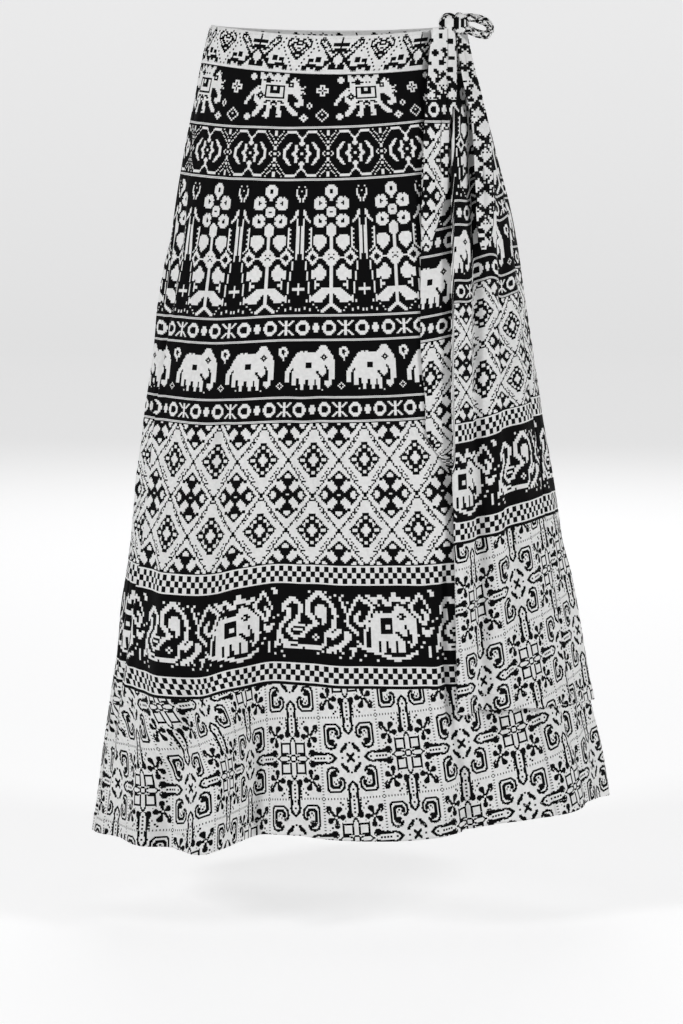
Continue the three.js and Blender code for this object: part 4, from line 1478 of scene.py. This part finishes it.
def band_grid(start, end, columns, lift):
    along, down = np.meshgrid(np.linspace(0, 1, columns + 1), np.linspace(0, 1, BAND_ROWS))
    angle = start + (end - start) * along
    z = band_top(angle) - down * BAND_HEIGHT
    pinch = gather_out(angle, 6 + (1 - down) * BAND_HEIGHT * 1.2) * 0.8
    edge = np.minimum(down, 1 - down) * BAND_HEIGHT
    roll = -0.6 * (1 - smooth(edge / 3))
    wave = ripple_out(angle, z * 3) * 0.7 * smooth(edge / 8)
    points = on_body(angle, z, lift(angle) + pinch * smooth(edge / 5) + roll + wave)
    u = run_along(on_body(angle, z, lift(angle)), 1)
    u = u + arc_from_middle(start, 0) - HEART_PLACE
    return points, np.stack([u * WAIST_SHARE, WAIST_TOP + down * BAND_HEIGHT], -1)


BAND_ROWS = 25
BAND_COLUMNS = 230
HEART_PLACE = -43  # the heart nearest the middle of the front, mm across


def add_bands(finish):
    made, grids = {}, {}
    spans = {
        "front_band": ("waistband_front", RIGHT_SEAM - 360 + float(shy(0)), UNDERLAP_END, lambda a: 0 * a),
        "back_band": ("waistband_back", BAND_END, RIGHT_SEAM - float(shy(0)), back_lift),
    }
    for name, (node, start, end, lift) in spans.items():
        grid, uvs = band_grid(start, end, BAND_COLUMNS, lift)
        grids[name] = grid
        made[name] = cloth_sheet(name, grid, uvs, BAND_CLOTH, finish)
        soften(made[name], 0.7, 2)
        finish_piece(made[name], node)
    return made, grids


# The hanging ties: at each height, how far the middle lies to the wearer's left, its
# lift over the inner layer, how much further out its rear edge stands, and half-width.
TIE_FRONT = np.array([
    # z, x, lift, tilt, half
    (13, 119.5, 15, 2, 12),
    (-4, 119, 13.5, 3, 14),
    (-23, 118.5, 12.5, 4, 15.5),
    (-68, 117, 12, 5, 16.5),
    (-92, 112, 10, 3, 14),
    (-124, 111, 8, 1, 14),
    (-168, 110.5, 8, 1, 14),
    (-190, 106, 8, 0, 11),
    (-215, 102, 8, 0, 7.5),
    (-240, 97.5, 8, 0, 2),
], float)[::-1]
TIE_SIDE = np.array([
    # z, x, lift, tilt, half
    (12, 140, 15, 0, 6),
    (-10, 143.5, 17, 0, 7),
    (-34, 148, 20, 0, 8),
    (-68, 156, 22, 0, 9),
    (-102, 163, 23, 0, 9.5),
    (-150, 166, 24, 0, 10),
    (-200, 167, 24, 0, 9.5),
    (-222, 167, 23.5, 0, 7),
    (-236, 166, 23, 0, 2),
], float)[::-1]
TIE_CLOTH = 2.4


TIE_ROWS, TIE_COLUMNS = 110, 26
TIE_ROUND = 1.6  # how far a tie's middle stands over its edges


def tie_grid(table, relief, print_down):
    top, tip = table[-1, 0], table[0, 0]
    along, z = np.meshgrid(np.linspace(-1, 1, TIE_COLUMNS + 1), np.linspace(top, tip, TIE_ROWS + 1))
    middle, lift, tilt, half = (read(table, k, z) for k in (1, 2, 3, 4))
    x = middle + half * along
    out = lift + tilt * along + TIE_ROUND * (1 - along**2) + relief(along, z)
    points = on_body(angle_for(x, z, out), z, out)
    return points, np.stack([TIE_PRINT_ACROSS + (x - TIE_PRINT_X) * WAIST_SHARE, print_down(z)], -1)


# The wide tie is cut so that the lattice border and the stars over it come on its end.
TIE_LATTICE_Z = -92  # height of the border's upper edge on the tie
TIE_STARS_Z = -67  # height where the border of stars starts
TIE_PRINT_X = 107
TIE_PRINT_ACROSS = -19.9  # place on the print at TIE_PRINT_X
LEAVES_TOP = WAIST_TOP + 90
LEAVES_DEEP = 40


def front_tie_print(z):
    return DOUBLE_LINES[-1] + TIE_LATTICE_Z - z


def side_tie_print(z):
    """Back and forth over the leaves."""
    place = (20 - z) % (2 * LEAVES_DEEP)
    return LEAVES_TOP + np.minimum(place, 2 * LEAVES_DEEP - place)


def front_tie_relief(along, z):
    fold = 1.6 * bell((along - 0.62) / 0.16) - 1.5 * bell((along - 0.36) / 0.1)
    crease = 1.1 * np.sin(3.1 * along + z / 17) * smooth((-z) / 60)
    return fold * smooth((z + 190) / 60) + crease


def side_tie_relief(along, z):
    return 1.3 * np.sin(4 * along + z / 23) * smooth(-z / 40) - 1.4 * bell((along + 0.15) / 0.16)


def add_ties(finish):
    made = {}
    ties = {
        "front_tie": (TIE_FRONT, front_tie_relief, front_tie_print),
        "side_tie": (TIE_SIDE, side_tie_relief, side_tie_print),
    }
    for name, (table, relief, print_down) in ties.items():
        grid, uvs = tie_grid(table, relief, print_down)
        made[name] = cloth_sheet(name, grid, uvs, TIE_CLOTH, finish)
        made[name].modifiers["wall"].material_offset = 0
        soften(made[name], 0.9, 3)
    for face in made["front_tie"].data.polygons:
        face.material_index = int(face.center.z < TIE_STARS_Z * MM)
    finish_piece(made["front_tie"], "tie_front")
    finish_piece(made["side_tie"], "tie_side")
    return made


KNOT_HEIGHT = 19
KNOT_OUT = 17
KNOT_HALF = np.array([17, 13, 13])
KNOT_WAIST = 0.22  # how far it is pulled in at its middle
KNOT_ROWS, KNOT_SIDES = 64, 56


def knot_centre():
    return on_body(np.array([KNOT_ANGLE]), np.array([KNOT_HEIGHT], float), KNOT_OUT)[0]


def tube(name, rings, uvs, finish):
    """A closed skin over rings of points."""
    rows, sides = rings.shape[:2]
    index = np.arange(rows * sides).reshape(rows, sides)
    ahead = np.roll(index, -1, axis=1)
    faces = np.stack([index[:-1], index[1:], ahead[1:], ahead[:-1]], -1).reshape(-1, 4).tolist()
    faces.append(index[0].tolist())
    faces.append(index[-1][::-1].tolist())
    return add_mesh(name, rings.reshape(-1, 3), faces, uvs.reshape(-1, 2), finish)


def knot_rings():
    """Two soft lobes with folds that run over them, and a band pulled tight between."""
    lat = np.linspace(-88, 88, KNOT_ROWS)
    turn = np.linspace(0, 360, KNOT_SIDES, endpoint=False)
    a, t = np.meshgrid(np.radians(lat), np.radians(turn), indexing="ij")
    p = np.stack([np.sin(a), -np.cos(a) * np.cos(t), np.cos(a) * np.sin(t)], -1)
    pinch = 1 - KNOT_WAIST * bell(p[..., 0] / 0.3)
    folds = 0.065 * np.sin(5 * t + 3.2 * p[..., 0]) + 0.035 * np.sin(9 * t - 4 * p[..., 0] + 1)
    groove = -0.20 * bell((p[..., 0] - 0.05) / 0.07)
    size = (1 + (folds + groove) * np.cos(a) ** 0.5)
    place = p * KNOT_HALF * size[..., None]
    place[..., 1] *= pinch
    place[..., 2] *= pinch
    uvs = np.stack([place[..., 0] * WAIST_SHARE + 9, LEAVES_TOP + 20 - 18 * np.cos(t)], -1)
    return knot_centre() + place, uvs


LOOP = np.array([
    # across, behind, up
    (4, 2, 4),
    (16, 5, 6),
    (28, 9, 4.5),
    (38, 12, 0.5),
    (42.5, 13, -6.5),
    (38, 12, -13),
    (28, 9, -11.5),
    (17, 5, -7),
    (6, 2, -4),
])
LOOP_THICK = 4.7
LOOP_WIDE = 9
LOOP_LENGTH = 118
LOOP_ROWS, LOOP_SIDES = 90, 28


def smooth_path(points, count):
    at = np.linspace(0, 1, len(points))
    table = np.column_stack([at, points])
    where = np.linspace(0, 1, count)
    return np.stack([read(table, k, where) for k in (1, 2, 3)], -1)


def loop_rings():
    path = knot_centre() + smooth_path(LOOP, LOOP_ROWS)
    forward = np.gradient(path, axis=0)
    forward /= np.linalg.norm(forward, axis=1)[:, None]
    side = np.cross(forward, [0, 1, 0])
    side /= np.linalg.norm(side, axis=1)[:, None]
    deep = np.cross(side, forward)
    turn = np.linspace(0, 2 * np.pi, LOOP_SIDES, endpoint=False)
    along = np.linspace(0, 1, LOOP_ROWS)[:, None]
    fold = 1 + 0.10 * np.sin(3 * turn + 9 * along) + 0.05 * np.sin(7 * turn - 14 * along)
    crush = 1 - 0.18 * bell((along - 0.5) / 0.05)
    thick = LOOP_THICK * np.cos(turn) * fold * crush
    wide = LOOP_WIDE * np.sin(turn) * (0.97 + 0 * along)
    rings = path[:, None] + side[:, None] * thick[..., None] + deep[:, None] * wide[..., None]
    across = along * LOOP_LENGTH * WAIST_SHARE + 0 * turn
    uvs = np.stack([across, LEAVES_TOP + 20 - 14 * np.cos(turn) + 0 * along], -1)
    return rings[:, ::-1], uvs[:, ::-1]


def add_knot_and_loop(finish):
    made = {}
    for name, node, rings in (("knot_cloth", "knot", knot_rings), ("loop_cloth", "bow_loop", loop_rings)):
        made[name] = tube(name, *rings(), finish)
        finish_piece(made[name], node)
    return made


# ---------------------------------------------------------------- stitches

THREAD = 0.34  # thickness of the sewing thread
STITCH = 2.3  # length of one stitch
STITCH_PITCH = 3.3


def stitching():
    """Stitches along a line: one soft bead of thread a stitch."""
    tree = bpy.data.node_groups.new("stitching", "GeometryNodeTree")
    face = tree.interface
    face.new_socket("Line", in_out="INPUT", socket_type="NodeSocketGeometry")
    for name in ("Stitch pitch", "Stitch length", "Thread thickness"):
        face.new_socket(name, in_out="INPUT", socket_type="NodeSocketFloat")
    face.new_socket("Thread", in_out="INPUT", socket_type="NodeSocketMaterial")
    face.new_socket("Stitches", in_out="OUTPUT", socket_type="NodeSocketGeometry")
    wiring = Wiring(tree)
    given = wiring.node("NodeGroupInput").outputs
    line = wiring.node("GeometryNodeMeshToCurve", given["Line"])
    points = wiring.node("GeometryNodeCurveToPoints", mode="LENGTH")
    wiring.feed(points.inputs["Curve"], line.outputs[0])
    wiring.feed(points.inputs["Length"], given["Stitch pitch"])
    bead = wiring.node("GeometryNodeMeshUVSphere", 6, 4, 1.0)
    soft = wiring.node("GeometryNodeSetShadeSmooth", bead.outputs["Mesh"])
    lie = wiring.node("FunctionNodeAlignEulerToVector", axis="X")
    wiring.feed(lie.inputs["Vector"], points.outputs["Tangent"])
    half = wiring.maths("MULTIPLY", given["Stitch length"], 0.5)
    size = wiring.node("ShaderNodeCombineXYZ", half, given["Thread thickness"], given["Thread thickness"])
    sewn = wiring.node("GeometryNodeInstanceOnPoints")
    wiring.feed(sewn.inputs["Points"], points.outputs["Points"])
    wiring.feed(sewn.inputs["Instance"], soft.outputs[0])
    wiring.feed(sewn.inputs["Rotation"], lie.outputs[0])
    wiring.feed(sewn.inputs["Scale"], size.outputs[0])
    real = wiring.node("GeometryNodeRealizeInstances", sewn.outputs[0])
    dressed = wiring.node("GeometryNodeSetMaterial", real.outputs[0])
    wiring.feed(dressed.inputs["Material"], given["Thread"])
    wiring.feed(wiring.node("NodeGroupOutput").inputs[0], dressed.outputs[0])
    return tree


def seam_line(grid, row, out):
    """A line that follows a row of a cloth's grid, on its outer face."""
    along = np.gradient(grid[row], axis=0)
    up = grid[row - 1] - grid[row]
    outward = np.cross(along, up)
    outward /= np.linalg.norm(outward, axis=1)[:, None]
    return (grid[row] + outward * out)[1:-1]


def add_stitches(name, lines, tree, thread):
    points = np.concatenate(lines) * MM
    edges, first = [], 0
    for line in lines:
        edges += [(first + k, first + k + 1) for k in range(len(line) - 1)]
        first += len(line)
    mesh = bpy.data.meshes.new(name + "_line")
    mesh.from_pydata(points.tolist(), edges, [])
    holder = add_object(name + "_line", mesh)
    sew = holder.modifiers.new("sew", "NODES")
    sew.node_group = tree
    values = {
        "Stitch pitch": STITCH_PITCH * MM,
        "Stitch length": STITCH * MM,
        "Thread thickness": THREAD * MM,
        "Thread": thread,
    }
    for item in tree.interface.items_tree:
        if item.name in values:
            sew[item.identifier] = values[item.name]
    bpy.context.view_layer.update()
    made = bpy.data.meshes.new_from_object(holder.evaluated_get(bpy.context.evaluated_depsgraph_get()))
    bpy.data.objects.remove(holder)
    stitches = add_object(name, made)
    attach(stitches, "root")
    return stitches


# Each cloth piece: rows of its grid that are stitched, the flat size of the cut that
# shows in metres, its flat area, and what it hangs from.
SEWN = {
    "front_cloth": ([-5], (0.67, 0.91), 0.415, "waistband_front"),
    "underlap_cloth": ([-4], (0.42, 0.87), 0.271, "waistband_front"),
    "back_cloth": ([-5], (0.90, 0.91), 0.609, "waistband_back"),
    "overlap_cloth": ([-7], (0.24, 0.75), 0.140, "waistband_back"),
    "front_band": ([2, -3], (0.56, 0.043), None, "front_cloth"),
    "back_band": ([2, -3], (0.55, 0.043), None, "back_cloth"),
}


def sew_and_declare(grids):
    tree = stitching()
    thread, _ = new_material("sewing_thread", Base_Color=(0.66, 0.66, 0.65, 1), Roughness=0.8)
    for name, (rows, flat, area, hung_from) in SEWN.items():
        out = (CLOTH if "cloth" in name else BAND_CLOTH) / 2 + THREAD / 3
        lines = [seam_line(grids[name], row, out) for row in rows]
        stitches = add_stitches(name + "_stitches", lines, tree, thread)


# ---------------------------------------------------------------- making it

add_camera()
add_studio()
print_face = cotton("printed_cotton", BORDERS, BORDER_CHANGES, BLACK_INK)
print_reverse = cotton("printed_cotton_reverse", BORDERS, BORDER_CHANGES, REVERSE_BLACK)
waist_face = cotton("waistband_cotton", WAIST_BORDERS, [0], BLACK_INK)
panels, panel_grids = add_panels([print_face, print_reverse])
bands, band_grids = add_bands([waist_face])
ties = add_ties([waist_face, print_face])
tied = add_knot_and_loop([waist_face])
sew_and_declare({**panel_grids, **band_grids})
